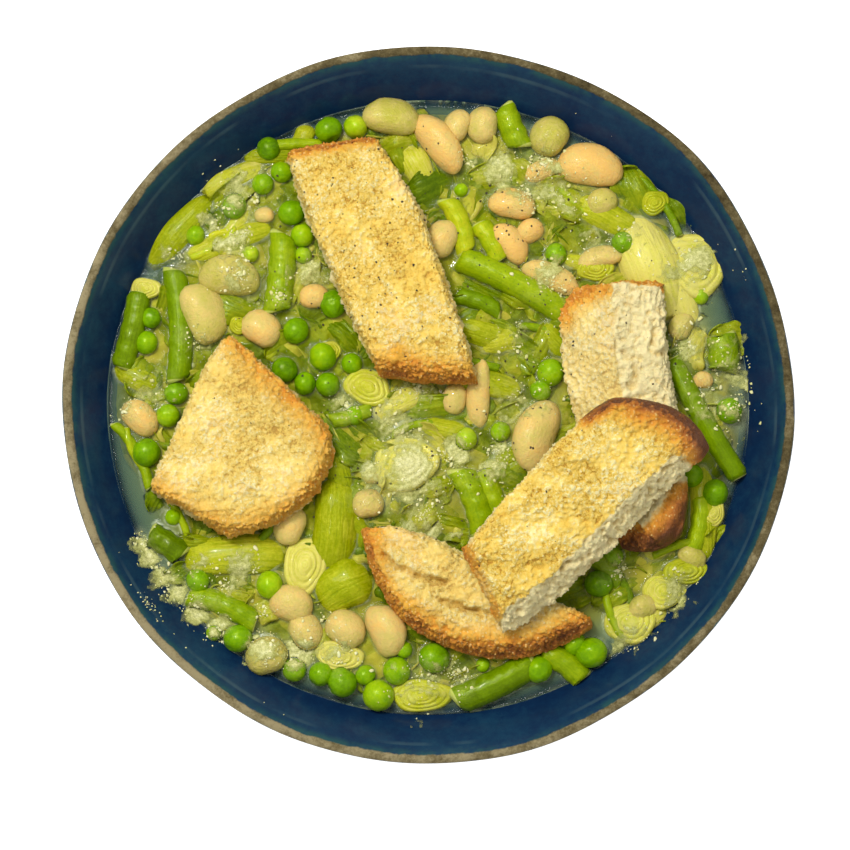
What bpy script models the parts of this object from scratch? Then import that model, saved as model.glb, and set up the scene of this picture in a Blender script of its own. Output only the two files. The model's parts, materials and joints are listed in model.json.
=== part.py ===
"""A stoneware bowl of green minestrone with five pieces of cheese toast. Metres, +Z up."""

import math
import random

import bmesh
import bpy
from mathutils import Matrix, Vector, noise

# The bowl: its inside is a flat floor that runs into one arc up to the rim.
FLOOR_HEIGHT = 0.010
FLOOR_RADIUS = 0.0276
CURVE_RADIUS = 0.082
CURVE_CENTRE_HEIGHT = FLOOR_HEIGHT + CURVE_RADIUS
RIM_ANGLE = math.radians(64.35)
WALL_AT_RIM = 0.0036
WALL_AT_FOOT = 0.0060
FOOT_RADIUS = 0.0520
FOOT_WIDTH = 0.0060
FOOT_HOLLOW = 0.0040
BOWL_HEIGHT = 0.0577
BOWL_STEPS = 60

# A hand-thrown wall is a little oval, has one bulge, and lumps: (waves round the rim, share, phase).
RIM_OVAL = 0.012
DEEP_OVAL = 0.038
BULGE_ANGLE = math.radians(46)
BULGE_SPREAD = math.radians(14)
BULGE = 0.016
LUMPS = ((4, 0.0015, 0.6), (6, 0.0012, 2.0), (10, 0.0016, 0.4), (16, 0.0016, 1.3))
RIM_WAVES = ((2, 0.0005, 1.0), (3, 0.0004, 0.2), (7, 0.0002, 2.1))

# The food: the broth's level, and the mass of vegetables that stands in a recess of the broth.
BROTH_LEVEL = 0.044
GAP = 0.0004
WALL_CLEARANCE = 0.0012
CORE_MARGIN = 0.0030
CORE_DEPTH = 0.0060
CORE_ABOVE_BROTH = 0.0010
CORE_MOUND = 0.0006
CORE_RINGS = (1.0, 0.84, 0.5)
PIECE_RISE = 0.0055
# Pools of clear broth that cut into the vegetables: (angle, spread, depth).
POOLS = ((203, 9, 0.013), (-51, 8, 0.014), (17, 6, 0.009), (150, 5, 0.004), (-118, 7, 0.004))

# The photograph's view: its scale and the bowl's axis at the broth, its distance, and its lean.
METRES_PER_PIXEL = 0.000292
AXIS_PIXEL = (428, 409)
CAMERA_DISTANCE = 0.713
CAMERA_LEAN = 0.0787

# The pieces that show, placed by their pixels in the photograph.
PEA_RADIUS = 0.0041
PEA_PIXELS = (
    (328, 132), (355, 129), (268, 151), (262, 187), (234, 210), (291, 216), (303, 239),
    (151, 322), (147, 347), (177, 397), (168, 420), (333, 308), (296, 335), (285, 374),
    (305, 388), (352, 368), (148, 457), (200, 584), (271, 588), (240, 641), (296, 672),
    (322, 676), (343, 685), (366, 677), (397, 673), (379, 697), (434, 660), (536, 671),
    (589, 655), (596, 586), (713, 497), (728, 415), (556, 258), (622, 248), (551, 377),
    (465, 446), (497, 436), (461, 193),
)
# White beans: pixel, length and width in pixels, heading in degrees.
BEANS = (
    (438, 146, 70, 34, -50), (590, 170, 67, 43, -8), (482, 127, 38, 31, 80), (456, 128, 34, 26, 60),
    (391, 120, 56, 38, -10), (549, 138, 42, 38, 60), (512, 208, 46, 32, -10), (510, 246, 46, 28, -50),
    (553, 280, 62, 27, -25), (441, 241, 36, 30, 60), (202, 316, 62, 46, -75), (228, 281, 60, 38, -5),
    (262, 333, 38, 32, -40), (314, 300, 30, 24, 0), (139, 422, 40, 28, -50), (290, 530, 40, 34, 80),
    (298, 620, 66, 36, -60), (347, 630, 40, 34, -45), (386, 634, 54, 36, -65), (370, 507, 32, 30, 0),
    (268, 656, 40, 36, 30), (537, 438, 76, 42, 68), (479, 397, 70, 26, 85),
)
# Green beans and leek lengths: the pixels of their two ends, and their width in pixels.
GREEN_BEANS = (
    (139, 298, 123, 369, 24), (176, 282, 180, 384, 25), (283, 239, 276, 315, 27),
    (459, 266, 546, 309, 27), (448, 205, 466, 252, 22), (505, 113, 519, 146, 26),
    (722, 340, 724, 374, 30), (193, 601, 256, 624, 23), (459, 703, 530, 669, 28),
    (543, 653, 580, 679, 25), (462, 476, 484, 532, 25), (484, 476, 502, 516, 22),
    (704, 408, 735, 480, 22), (481, 228, 500, 262, 22),
)
LEEKS = (
    (190, 562, 282, 557, 38), (338, 487, 333, 567, 40), (324, 600, 366, 580, 44),
    (157, 262, 203, 208, 28), (188, 258, 268, 231, 22), (706, 478, 704, 556, 26),
)
# Leek rounds and other cut slices: pixel, length and width in pixels, heading in degrees.
SLICE_STEPS = 10
SLICES = (
    (306, 569, 60, 42, 80), (340, 658, 48, 26, -10), (366, 392, 44, 34, -20), (422, 696, 60, 32, 0),
    (627, 625, 52, 38, 15), (693, 270, 66, 56, -60), (683, 576, 46, 28, 8), (146, 294, 30, 22, 0),
)
# Wilted leaves of cabbage and leek: pixel, length and width in pixels, heading in degrees.
LEAF_ROOT = 0.0045
LEAVES = (
    (405, 466, 76, 64, 20), (637, 200, 62, 46, -60), (580, 208, 76, 46, -20), (430, 192, 60, 40, 30),
    (238, 190, 80, 26, 42), (430, 412, 84, 50, 10), (143, 380, 44, 52, 60), (512, 474, 60, 44, -30),
    (352, 438, 66, 46, -40), (505, 352, 78, 50, -25), (462, 325, 60, 46, 40), (650, 252, 56, 50, -50),
    (618, 590, 60, 34, 30),
)

# The toasts rest on the vegetables, a little above the broth.
TOAST_REST = 0.0468
TOAST_SECTIONS = 17
TOP_STEPS = (0, 0.2, 0.42, 0.62, 0.82, 1)
TOP_ROUND = 0.0016
CRAG_DEPTH = 0.0016
BED_INSET = 0.0045

CREAM = (0.86, 0.72, 0.40, 1)


def smooth_step(value, low, high):
    share = min(1, max(0, (value - low) / (high - low)))
    return share * share * (3 - 2 * share)


def spot(x_pixel, y_pixel, height):
    """The point at this height that a pixel of the photograph shows."""
    rise = height - BROTH_LEVEL
    scale = METRES_PER_PIXEL * (1 - rise / CAMERA_DISTANCE)
    across = (x_pixel - AXIS_PIXEL[0]) * scale
    return Vector((across, (AXIS_PIXEL[1] - y_pixel) * scale - rise * CAMERA_LEAN, height))


def out_of_round(angle, height):
    """The hand-thrown wall's radius at this angle and height, as a share of the true circle's."""
    share = height / BOWL_HEIGHT
    oval = RIM_OVAL + DEEP_OVAL * min(1, (1 - share) / 0.25)
    from_bulge = (angle - BULGE_ANGLE + math.pi) % (2 * math.pi) - math.pi
    lumps = sum(size * math.cos(waves * angle + phase) for waves, size, phase in LUMPS)
    bulge = BULGE * math.exp(-((from_bulge / BULGE_SPREAD) ** 2))
    return 1 + smooth_step(share, 0.1, 0.4) * (-oval * math.sin(angle) ** 2 + (lumps + bulge) * share**3)


def rim_wave(angle, height):
    """How much the rim's height rises or dips at this angle. It fades out above the broth."""
    waves = sum(size * math.cos(count * angle + phase) for count, size, phase in RIM_WAVES)
    return waves * smooth_step(height, 0.046, BOWL_HEIGHT)


def on_wall(radius, angle, height):
    """A point at this radius of the true circle, as the uneven wall has it."""
    reach = radius * out_of_round(angle, height)
    return Vector((reach * math.cos(angle), reach * math.sin(angle), height + rim_wave(angle, height)))


def wall_radius(height):
    return FLOOR_RADIUS + math.sqrt(CURVE_RADIUS**2 - (CURVE_CENTRE_HEIGHT - height) ** 2)


def curve_point(angle, outwards=0.0):
    """(radius, height) on the bowl's inner curve, angle from straight down, moved out through the wall."""
    reach = CURVE_RADIUS + outwards
    return FLOOR_RADIUS + reach * math.sin(angle), CURVE_CENTRE_HEIGHT - reach * math.cos(angle)


def level_angle():
    """Where round the bowl's inner curve the broth's surface meets it."""
    return math.acos((CURVE_CENTRE_HEIGHT - BROTH_LEVEL) / CURVE_RADIUS)


def ring_angles(steps=BOWL_STEPS):
    return [2 * math.pi * i / steps for i in range(steps)]


def material(name, colour, roughness):
    made = bpy.data.materials.new(name)
    made.use_nodes = True
    shader = made.node_tree.nodes["Principled BSDF"]
    shader.inputs["Base Color"].default_value = colour
    shader.inputs["Roughness"].default_value = roughness
    shader.inputs["Metallic"].default_value = 0.0
    return made


def object_from(bm, name, surface=None, smooth_below=40):
    mesh = bpy.data.meshes.new(name)
    bm.to_mesh(mesh)
    bm.free()
    mesh.shade_smooth()
    mesh.set_sharp_from_angle(angle=math.radians(smooth_below))
    if surface:
        mesh.materials.append(surface)
    made = bpy.data.objects.new(name, mesh)
    bpy.context.scene.collection.objects.link(made)
    return made


def loft(rings, first_tip, last_tip):
    """A closed solid through rings of as many points each, its two ends closed by fans round their tips."""
    bm = bmesh.new()
    loops = [[bm.verts.new(point) for point in ring] for ring in rings]
    for near, far in zip(loops, loops[1:]):
        for i in range(len(near)):
            bm.faces.new((near[i - 1], near[i], far[i], far[i - 1]))
    for loop, tip in ((loops[0], first_tip), (loops[-1], last_tip)):
        middle = bm.verts.new(tip)
        for i in range(len(loop)):
            bm.faces.new((loop[i - 1], loop[i], middle))
    bmesh.ops.recalc_face_normals(bm, faces=bm.faces)
    return bm


def bowl():
    """The stoneware bowl: spun from one section, then pushed out of round as the hand leaves it."""
    inner = [(0, FLOOR_HEIGHT), (FLOOR_RADIUS, FLOOR_HEIGHT)]
    inner += [curve_point(angle) for angle in (math.radians(22), math.radians(40), level_angle(), RIM_ANGLE)]
    lip_inner = Vector(curve_point(RIM_ANGLE))
    lip_outer = Vector(curve_point(RIM_ANGLE, WALL_AT_RIM))
    lip_middle = (lip_inner + lip_outer) / 2
    across = (lip_outer - lip_inner) / 2
    upwards = Vector((-across.y, across.x))
    round_lip = (0.8, math.pi / 2, 2.35)
    lip = [lip_middle - across * math.cos(turn) + upwards * math.sin(turn) for turn in round_lip]
    outer = []
    for degrees in (64.35, 54, 37, 19):
        share = math.radians(degrees) / RIM_ANGLE
        thickness = WALL_AT_FOOT + (WALL_AT_RIM - WALL_AT_FOOT) * share
        outer.append(curve_point(math.radians(degrees), thickness))
    foot_inside = FOOT_RADIUS - FOOT_WIDTH
    foot = [(FOOT_RADIUS, 0), (foot_inside, 0), (foot_inside - 0.001, FOOT_HOLLOW), (0, FOOT_HOLLOW)]

    bm = bmesh.new()
    section = [bm.verts.new((point[0], 0, point[1])) for point in inner + lip + outer + foot]
    edges = [bm.edges.new(pair) for pair in zip(section, section[1:])]
    turn = {"cent": (0, 0, 0), "axis": (0, 0, 1), "angle": 2 * math.pi}
    bmesh.ops.spin(bm, geom=section + edges, steps=BOWL_STEPS, use_merge=True, **turn)
    bmesh.ops.remove_doubles(bm, verts=bm.verts, dist=1e-6)
    for vertex in bm.verts:
        radius = math.hypot(vertex.co.x, vertex.co.y)
        vertex.co = on_wall(radius, math.atan2(vertex.co.y, vertex.co.x), vertex.co.z)
    bmesh.ops.recalc_face_normals(bm, faces=bm.faces)
    return object_from(bm, "bowl", material("blue glaze", (0.012, 0.045, 0.115, 1), 0.25))


def core_radius(angle):
    """The outline of the vegetables' mass: a little inside the wall, and drawn in where broth pools."""
    reach = (wall_radius(BROTH_LEVEL) - CORE_MARGIN) * out_of_round(angle, BROTH_LEVEL)
    for degrees, spread, depth in POOLS:
        away = (math.degrees(angle) - degrees + 180) % 360 - 180
        reach -= depth * math.exp(-((away / spread) ** 2))
    return reach


def core_ring(share, grow, height):
    """A ring of the core's outline, shrunk to a share of its radius and grown by a gap."""
    points = []
    for angle in ring_angles():
        reach = core_radius(angle) * share + grow
        points.append(Vector((reach * math.cos(angle), reach * math.sin(angle), height)))
    return points


def broth():
    """The broth fills the bowl up to its level, and has a recess that the vegetables stand in."""
    stations = (math.radians(22), math.radians(40), level_angle())
    rings = [[on_wall(FLOOR_RADIUS, angle, FLOOR_HEIGHT + GAP) for angle in ring_angles()]]
    for station in stations:
        radius, height = curve_point(station, -GAP)
        height = min(height, BROTH_LEVEL)
        rings.append([on_wall(radius, angle, height) for angle in ring_angles()])
    floor = BROTH_LEVEL - CORE_DEPTH
    rings.append(core_ring(1.0, GAP, BROTH_LEVEL))
    rings.append(core_ring(0.94, GAP, floor))
    bm = loft(rings, (0, 0, FLOOR_HEIGHT + GAP), (0, 0, floor))
    return object_from(bm, "broth", material("green broth", (0.55, 0.58, 0.20, 1), 0.12))


def along_edge(points, share):
    """The point at this share of the way along a smooth curve through the points."""
    reach = share * (len(points) - 1)
    i = min(int(reach), len(points) - 2)
    t = reach - i
    before, here, there = points[max(0, i - 1)], points[i], points[i + 1]
    after = points[min(len(points) - 1, i + 2)]
    bend = (2 * before - 5 * here + 4 * there - after) * t * t
    return (2 * here + (there - before) * t + bend + (3 * here - before - 3 * there + after) * t**3) / 2


class Toast:
    """A piece of toast, lofted through sections from one end to the other.

    Its left and right edges are seen in the photograph. Thick is its height at its start and its finish, and
    rest is how high its underside lies there. The lean is how much lower its right side lies, and the fall
    how much lower still its top does there. Slopes are how far its two sides draw in towards the top, and
    rounds how far its two ends do. Bulges are how far its two ends reach out at their middle.
    """

    def __init__(
        self, name, left, right, thick, slopes, rounds,
        bulges=(0, 0), rest=(TOAST_REST, TOAST_REST), lean=0.0, fall=0.0,
    ):
        self.name, self.bulges = name, bulges
        middle = rest[0] + thick[0] * 0.6
        self.left = [spot(x, y, middle) for x, y in left]
        self.right = [spot(x, y, middle) for x, y in right]
        self.thick, self.slopes, self.rounds = thick, slopes, rounds
        self.rest, self.lean, self.fall = rest, lean, fall
        self.length = ((self.left[0] + self.right[0]) / 2 - (self.left[-1] + self.right[-1]) / 2).length

    def across(self, share):
        return along_edge(self.left, share), along_edge(self.right, share)

    def bulge(self, share, side):
        """How far out along the toast its rounded end carries a point."""
        ends = [(side_a + side_b) / 2 for side_a, side_b in (self.across(0), self.across(1))]
        along = (ends[1] - ends[0]).normalized()
        reach = self.bulges[1] * smooth_step(share, 0.6, 1) - self.bulges[0] * smooth_step(1 - share, 0.6, 1)
        return along * (reach * 4 * side * (1 - side))

    def under(self, share, side):
        return self.rest[0] + (self.rest[1] - self.rest[0]) * share - self.lean * side

    def fullness(self, share):
        """The share of its thickness that a section has: an end rounds down over its rounding length."""
        full = 1.0
        for distance, reach in zip((share, 1 - share), self.rounds):
            left_over = max(0, 1 - distance * self.length / reach)
            full = min(full, 0.22 + 0.78 * math.sqrt(max(0, 1 - left_over * left_over)))
        return full

    def section(self, share):
        left, right = self.across(share)
        width = (right - left).length
        full = self.fullness(share)
        thickness = (self.thick[0] + (self.thick[1] - self.thick[0]) * share) * full
        room = min(1, 0.65 * width / (sum(self.slopes) + 2 * TOP_ROUND))
        slope_left, slope_right = (slope * room / width for slope in self.slopes)
        low, high = 0.0012 * room / width, TOP_ROUND * room / width
        profile = [(low, 0.0), (0, 0.14), (slope_left * 0.45, 0.55), (slope_left * 0.9, 0.90)]
        flat = 1 - slope_left - slope_right - 2 * high
        profile += [(slope_left + high + flat * step, 1.0) for step in TOP_STEPS]
        profile += [(1 - slope_right * 0.9, 0.90), (1 - slope_right * 0.45, 0.55), (1, 0.14), (1 - low, 0.0)]
        ring = []
        for side, up in profile:
            place = left.lerp(right, side) + self.bulge(share, side)
            rough = noise.noise(place * 260) + 0.7 * noise.noise(place * 620)
            crag = CRAG_DEPTH * (min(0.35, rough) - 0.35) * smooth_step(up, 0.5, 1) * full
            if 0.14 <= up < 1:
                place += (right - left).normalized() * (0.0005 * rough * (1 if side < 0.5 else -1))
            top = thickness - self.fall * side * smooth_step(up, 0.5, 1)
            ring.append(Vector((place.x, place.y, self.under(share, side) + up * top + crag)))
        return ring

    def solid(self):
        """The toast itself, its sections packed closer towards its two ends."""
        turns = [math.pi * i / (TOAST_SECTIONS - 1) for i in range(TOAST_SECTIONS)]
        rings = [self.section((1 - math.cos(turn)) / 2) for turn in turns]
        tips = [sum(ring, Vector()) / len(ring) for ring in (rings[0], rings[-1])]
        return object_from(loft(rings, *tips), self.name, material(self.name + " crumb", CREAM, 0.85), 50)

    def outline(self, inset=0.0):
        """Its outline from above, drawn in by a distance."""
        ends = inset / self.length
        shares = [ends + (1 - 2 * ends) * i / 11 for i in range(12)]
        sides = []
        for share in shares:
            left, right = self.across(share)
            inwards = (right - left).normalized() * min(inset, 0.35 * (right - left).length)
            sides.append((left + inwards, right - inwards))
        return [left for left, _ in sides] + [right for _, right in reversed(sides)]

    def bed(self):
        """The hidden vegetables that carry the toast, from the core up to its underside."""
        border = self.outline(BED_INSET)
        foot = [Vector((point.x, point.y, BROTH_LEVEL + GAP)) for point in border]
        top = [Vector((point.x, point.y, self.rest[0] - GAP)) for point in border]
        middles = [sum(ring, Vector()) / len(ring) for ring in (foot, top)]
        return object_from(loft([foot, top], *middles), "bed of " + self.name)

    def drop_needed(self, point):
        """How far a point has to sink to pass under this toast, or 0 where it is clear."""
        if not self.rest[0] - self.lean - GAP < point.z < self.rest[1] + self.thick[0]:
            return 0
        inside = False
        border = self.border
        for i, here in enumerate(border):
            before = border[i - 1]
            if (here.y > point.y) != (before.y > point.y):
                share = (point.y - here.y) / (before.y - here.y)
                if point.x < here.x + share * (before.x - here.x):
                    inside = not inside
        return point.z - self.rest[0] + self.lean + GAP if inside else 0


# Each toast's left and right edge as pixels from its start to its finish, its thickness at both ends, the
# slopes of its left and right sides, and the roundings of its two ends.
TOASTS = (
    Toast(
        "toast_top",
        ((285, 152), (291, 186), (305, 222), (320, 258), (338, 300), (357, 342), (378, 380)),
        ((376, 137), (396, 166), (419, 204), (434, 246), (450, 290), (466, 338), (480, 388)),
        (0.0120, 0.0135), (0.0014, 0.0010), (0.0016, 0.0075), bulges=(0.0004, 0.0014),
    ),
    Toast(
        "toast_left",
        ((149, 494), (157, 471), (170, 446), (183, 413), (196, 382), (213, 354), (228, 336)),
        ((232, 544), (285, 527), (321, 497), (336, 461), (334, 435), (300, 402), (242, 346)),
        (0.0118, 0.0112), (0.0012, 0.0022), (0.0022, 0.0016),
    ),
    Toast(
        "toast_right",
        ((667, 285), (668, 318), (671, 360), (677, 408), (683, 456), (689, 500), (683, 538)),
        ((572, 288), (556, 320), (560, 368), (570, 420), (584, 466), (600, 510), (620, 553)),
        (0.0124, 0.0114), (0.0012, 0.0125), (0.0022, 0.0060), bulges=(0.0006, 0.0030), fall=-0.0030,
    ),
    Toast(
        "toast_low",
        ((360, 533), (392, 527), (422, 536), (456, 552), (494, 570), (548, 600), (590, 620)),
        ((364, 549), (375, 587), (398, 623), (447, 654), (505, 665), (560, 652), (592, 632)),
        (0.0105, 0.0110), (0.0010, 0.0034), (0.0024, 0.0022),
    ),
    Toast(
        "toast_across",
        ((461, 552), (484, 523), (511, 494), (535, 468), (559, 442), (585, 419), (609, 402)),
        ((503, 641), (545, 617), (583, 584), (622, 545), (661, 506), (696, 475), (711, 454)),
        (0.0130, 0.0138), (0.0010, 0.0062), (0.0024, 0.0056), bulges=(-0.0006, 0.0062),
        rest=(0.0606, 0.0640), lean=0.0020, fall=0.0015,
    ),
)
for toast in TOASTS:
    toast.border = toast.outline(-0.0018)


def core():
    """The packed mass of vegetables in the broth: a low uneven mound that the pieces are fused on."""
    floor = BROTH_LEVEL - CORE_DEPTH + GAP
    rings = [core_ring(0.94, -0.0002, floor), core_ring(1.0, 0, BROTH_LEVEL)]
    for share in CORE_RINGS:
        ring = core_ring(share, 0, BROTH_LEVEL + CORE_ABOVE_BROTH)
        for point in ring:
            rough = 0.5 + 0.5 * noise.noise(point * 60)
            point.z += (1 - share) * CORE_MOUND + (share < 1) * rough * 0.0006
        rings.append(ring)
    top = (0, 0, BROTH_LEVEL + CORE_ABOVE_BROTH + CORE_MOUND)
    bm = loft(rings, (0, 0, floor), top)
    return object_from(bm, "vegetables", material("cooked greens", (0.22, 0.36, 0.04, 1), 0.4))


def pea(place, chance):
    bm = bmesh.new()
    radius = PEA_RADIUS * chance.uniform(0.92, 1.08)
    bmesh.ops.create_uvsphere(bm, u_segments=8, v_segments=6, radius=radius)
    turn = Matrix.Rotation(chance.uniform(0, 3), 4, "Z") @ Matrix.Rotation(chance.uniform(-0.3, 0.3), 4, "X")
    bm.transform(Matrix.Translation(place) @ Matrix.Diagonal((1, 0.95, 1, 1)) @ turn)
    return bm


def white_bean(place, length, width, heading):
    """A kidney shape: a long ball bent towards one side."""
    bm = bmesh.new()
    bmesh.ops.create_uvsphere(bm, u_segments=8, v_segments=6, radius=0.5)
    bm.transform(Matrix.Rotation(math.pi / 2, 4, "Y"))
    for vertex in bm.verts:
        along = 2 * vertex.co.x
        vertex.co.y += 0.16 * (1 - along * along) - 0.08
    size = Matrix.Diagonal((length, width, min(width, 0.0100), 1))
    bm.transform(Matrix.Translation(place) @ Matrix.Rotation(heading, 4, "Z") @ size)
    return bm


def rod(place, length, width, heading, sides, bow, chance):
    """A bean pod or a length of leek: a tube with cut ends, a slight bow and an uneven width."""
    sections = 4
    rings = []
    for i in range(sections):
        share = i / (sections - 1)
        along = (share - 0.5) * length
        fat = width / 2 * (1 + 0.08 * math.sin(9 * share + 7 * chance.random()))
        if i in (0, sections - 1):
            fat *= 0.82
        aside = bow * (1 - (2 * share - 1) ** 2)
        slant = 0.25 * width * (i == sections - 1)
        ring = []
        for k in range(sides):
            turn = 2 * math.pi * k / sides + 0.2
            across, up = math.cos(turn), math.sin(turn)
            ring.append(Vector((along + slant * across, aside + fat * across, fat * up)))
        rings.append(ring)
    tips = [sum(ring, Vector()) / sides for ring in (rings[0], rings[-1])]
    bm = loft(rings, *tips)
    bm.transform(Matrix.Translation(place) @ Matrix.Rotation(heading, 4, "Z"))
    return bm


def slice_of_leek(place, length, width, heading, chance):
    """A cut round: nested rings that stand a little proud of each other, tipped as it floats."""
    rings = []
    for share, height in ((0.9, -0.0030), (1.0, 0.0012), (0.88, 0.0022), (0.62, 0.0016), (0.5, 0.0026)):
        across, along = share * width / 2, share * length / 2
        turns = ring_angles(SLICE_STEPS)
        rings.append([Vector((along * math.cos(t), across * math.sin(t), height)) for t in turns])
    bm = loft(rings, (0, 0, -0.0030), (0, 0, 0.0022))
    tilts = [Matrix.Rotation(chance.uniform(-0.14, 0.14), 4, axis) for axis in "XY"]
    bm.transform(Matrix.Translation(place) @ Matrix.Rotation(heading, 4, "Z") @ tilts[0] @ tilts[1])
    return bm


def leaf(place, length, width, heading, chance):
    """A wilted leaf that lies on the heap: a wavy upper face, and a hidden root down into the core."""
    across, along = 4, 6
    phase = chance.uniform(0, 6)
    bm = bmesh.new()
    rows = []
    for i in range(along):
        u = 2 * i / (along - 1) - 1
        row = []
        for j in range(across):
            v = (2 * j / (across - 1) - 1) * math.sqrt(1 - 0.75 * u * u)
            lift = 0.0009 * math.sin(4.2 * u + phase) + 0.0010 * math.cos(4.6 * v + 1.7 * u + phase)
            lift -= 0.0016 * (u * u + v * v)
            row.append(Vector((u * length / 2, v * width / 2, lift)))
        rows.append(row)
    upper = [[bm.verts.new(point) for point in row] for row in rows]
    for i in range(along - 1):
        for j in range(across - 1):
            bm.faces.new((upper[i][j], upper[i + 1][j], upper[i + 1][j + 1], upper[i][j + 1]))
    border = [(i, 0) for i in range(along)] + [(along - 1, j) for j in range(1, across)]
    border += [(i, across - 1) for i in range(along - 2, -1, -1)] + [(0, j) for j in range(across - 2, 0, -1)]
    foot = [bm.verts.new((rows[i][j].x, rows[i][j].y, -LEAF_ROOT)) for i, j in border]
    middle = bm.verts.new((0, 0, -LEAF_ROOT))
    for k, (i, j) in enumerate(border):
        before = border[k - 1]
        bm.faces.new((upper[before[0]][before[1]], upper[i][j], foot[k], foot[k - 1]))
        bm.faces.new((foot[k - 1], foot[k], middle))
    bmesh.ops.recalc_face_normals(bm, faces=bm.faces)
    bm.transform(Matrix.Translation(place) @ Matrix.Rotation(heading, 4, "Z"))
    return bm


def wall_clearance(bm):
    """The sideways move that brings a piece clear of the wall, or nothing where it is clear."""
    excess, away = 0, Vector()
    for vertex in bm.verts:
        radius, angle = math.hypot(vertex.co.x, vertex.co.y), math.atan2(vertex.co.y, vertex.co.x)
        room = wall_radius(vertex.co.z) * out_of_round(angle, vertex.co.z) - WALL_CLEARANCE
        if radius - room > excess:
            excess, away = radius - room, Vector((vertex.co.x, vertex.co.y, 0)).normalized()
    return -away * excess


def sink_needed(bm):
    points = [vertex.co for vertex in bm.verts]
    for face in bm.faces:
        middle = face.calc_center_median()
        for corner, after in zip(face.verts, face.verts[1:] + face.verts[:1]):
            points += [corner.co.lerp(after.co, share) for share in (0.25, 0.5, 0.75)]
            points += [corner.co.lerp(middle, share) for share in (0.33, 0.67, 1)]
    return max(toast.drop_needed(point) for toast in TOASTS for point in points)


def fit(bm, chance):
    """Sinks a piece to its height, cuts it off just above the broth, and moves it clear of the wall.

    It returns None for a piece that would be sunk by that, or that still meets a toast.
    """
    proud = max(vertex.co.z for vertex in bm.verts) - BROTH_LEVEL - PIECE_RISE
    bm.transform(Matrix.Translation((0, 0, -max(0, proud))))
    for _ in range(3):
        bm.transform(Matrix.Translation((0, 0, -sink_needed(bm))))
    if max(vertex.co.z for vertex in bm.verts) < BROTH_LEVEL + CORE_ABOVE_BROTH + 0.0012:
        bm.free()
        return None
    cut = BROTH_LEVEL + GAP + chance.uniform(0, 0.00012)
    whole = bm.verts[:] + bm.edges[:] + bm.faces[:]
    plane = {"plane_co": (0, 0, cut), "plane_no": (0, 0, -1), "dist": 1e-7}
    bmesh.ops.bisect_plane(bm, geom=whole, clear_outer=True, **plane)
    bmesh.ops.holes_fill(bm, edges=[edge for edge in bm.edges if edge.is_boundary], sides=0)
    bmesh.ops.recalc_face_normals(bm, faces=bm.faces)
    for _ in range(5):
        bm.transform(Matrix.Translation(wall_clearance(bm)))
    if sink_needed(bm) > 0:
        bm.free()
        return None
    return bm


def pieces():
    """Every piece of vegetable that shows, fitted to the bowl, the broth and the toasts."""
    chance = random.Random(11)
    scale = METRES_PER_PIXEL
    made = []

    def at(x_pixel, y_pixel, above):
        return spot(x_pixel, y_pixel, BROTH_LEVEL + above)

    for x, y, length, width, heading in LEAVES:
        made.append(leaf(at(x, y, 0.0038), length * scale, width * scale, math.radians(heading), chance))
    for x, y, length, width, heading in SLICES:
        turn = math.radians(heading)
        made.append(slice_of_leek(at(x, y, 0.0020), length * scale, width * scale, turn, chance))
    for group, sides, bow in ((LEEKS, 7, 0.0008), (GREEN_BEANS, 6, 0.0011)):
        for x0, y0, x1, y1, width in group:
            along = at(x1, y1, 0) - at(x0, y0, 0)
            middle = at((x0 + x1) / 2, (y0 + y1) / 2, 0.0017)
            heading = math.atan2(along.y, along.x)
            made.append(rod(middle, along.length, width * scale, heading, sides, bow, chance))
    for x, y, length, width, heading in BEANS:
        made.append(white_bean(at(x, y, 0.0016), length * scale, width * scale, math.radians(heading)))
    for x, y in PEA_PIXELS:
        made.append(pea(at(x, y, 0.0014), chance))
    fitted = [fit(bm, chance) for bm in made]
    return [bm for bm in fitted if bm]


def keep_outer_shell(mesh):
    """Drops the loose scraps and the sealed hollows that fusing leaves, and keeps the one outer shell."""
    bm = bmesh.new()
    bm.from_mesh(mesh)
    bm.verts.ensure_lookup_table()
    left, shells = set(bm.verts), []
    while left:
        shell, front = set(), [next(iter(left))]
        while front:
            vertex = front.pop()
            if vertex in shell:
                continue
            shell.add(vertex)
            front += [edge.other_vert(vertex) for edge in vertex.link_edges]
        left -= shell
        shells.append(shell)
    largest = max(shells, key=len)
    bmesh.ops.delete(bm, geom=[v for v in bm.verts if v not in largest], context="VERTS")
    bm.to_mesh(mesh)
    bm.free()


def vegetables():
    """The heap as one solid: the core, the beds under the toasts and the pieces that show, all fused."""
    heap = core()
    parts = bpy.data.collections.new("pieces")
    bpy.context.scene.collection.children.link(parts)
    members = [object_from(bm, "piece") for bm in pieces()]
    members += [toast.bed() for toast in TOASTS if toast.name != "toast_across"]
    for member in members:
        bpy.context.scene.collection.objects.unlink(member)
        parts.objects.link(member)
    fuse = heap.modifiers.new("fuse", "BOOLEAN")
    fuse.operation = "UNION"
    fuse.operand_type = "COLLECTION"
    fuse.collection = parts
    fuse.solver = "MANIFOLD"
    bpy.context.view_layer.update()
    fused = bpy.data.meshes.new_from_object(heap.evaluated_get(bpy.context.evaluated_depsgraph_get()))
    heap.modifiers.clear()
    fused.name = heap.name
    heap.data = fused
    for member in members:
        bpy.data.objects.remove(member)
    bpy.data.collections.remove(parts)
    keep_outer_shell(heap.data)
    return heap


def main():
    for old in list(bpy.data.objects):
        bpy.data.objects.remove(old)
    bowl()
    broth()
    vegetables()
    for toast in TOASTS:
        toast.solid()


main()
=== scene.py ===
"""Green minestrone in a hand-thrown stoneware bowl, under five pieces of cheese toast. Metres, +Z up."""

import json
import math
import random

import bmesh
import bpy
import numpy as np
from mathutils import Matrix, Vector, noise
from mathutils.bvhtree import BVHTree

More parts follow.
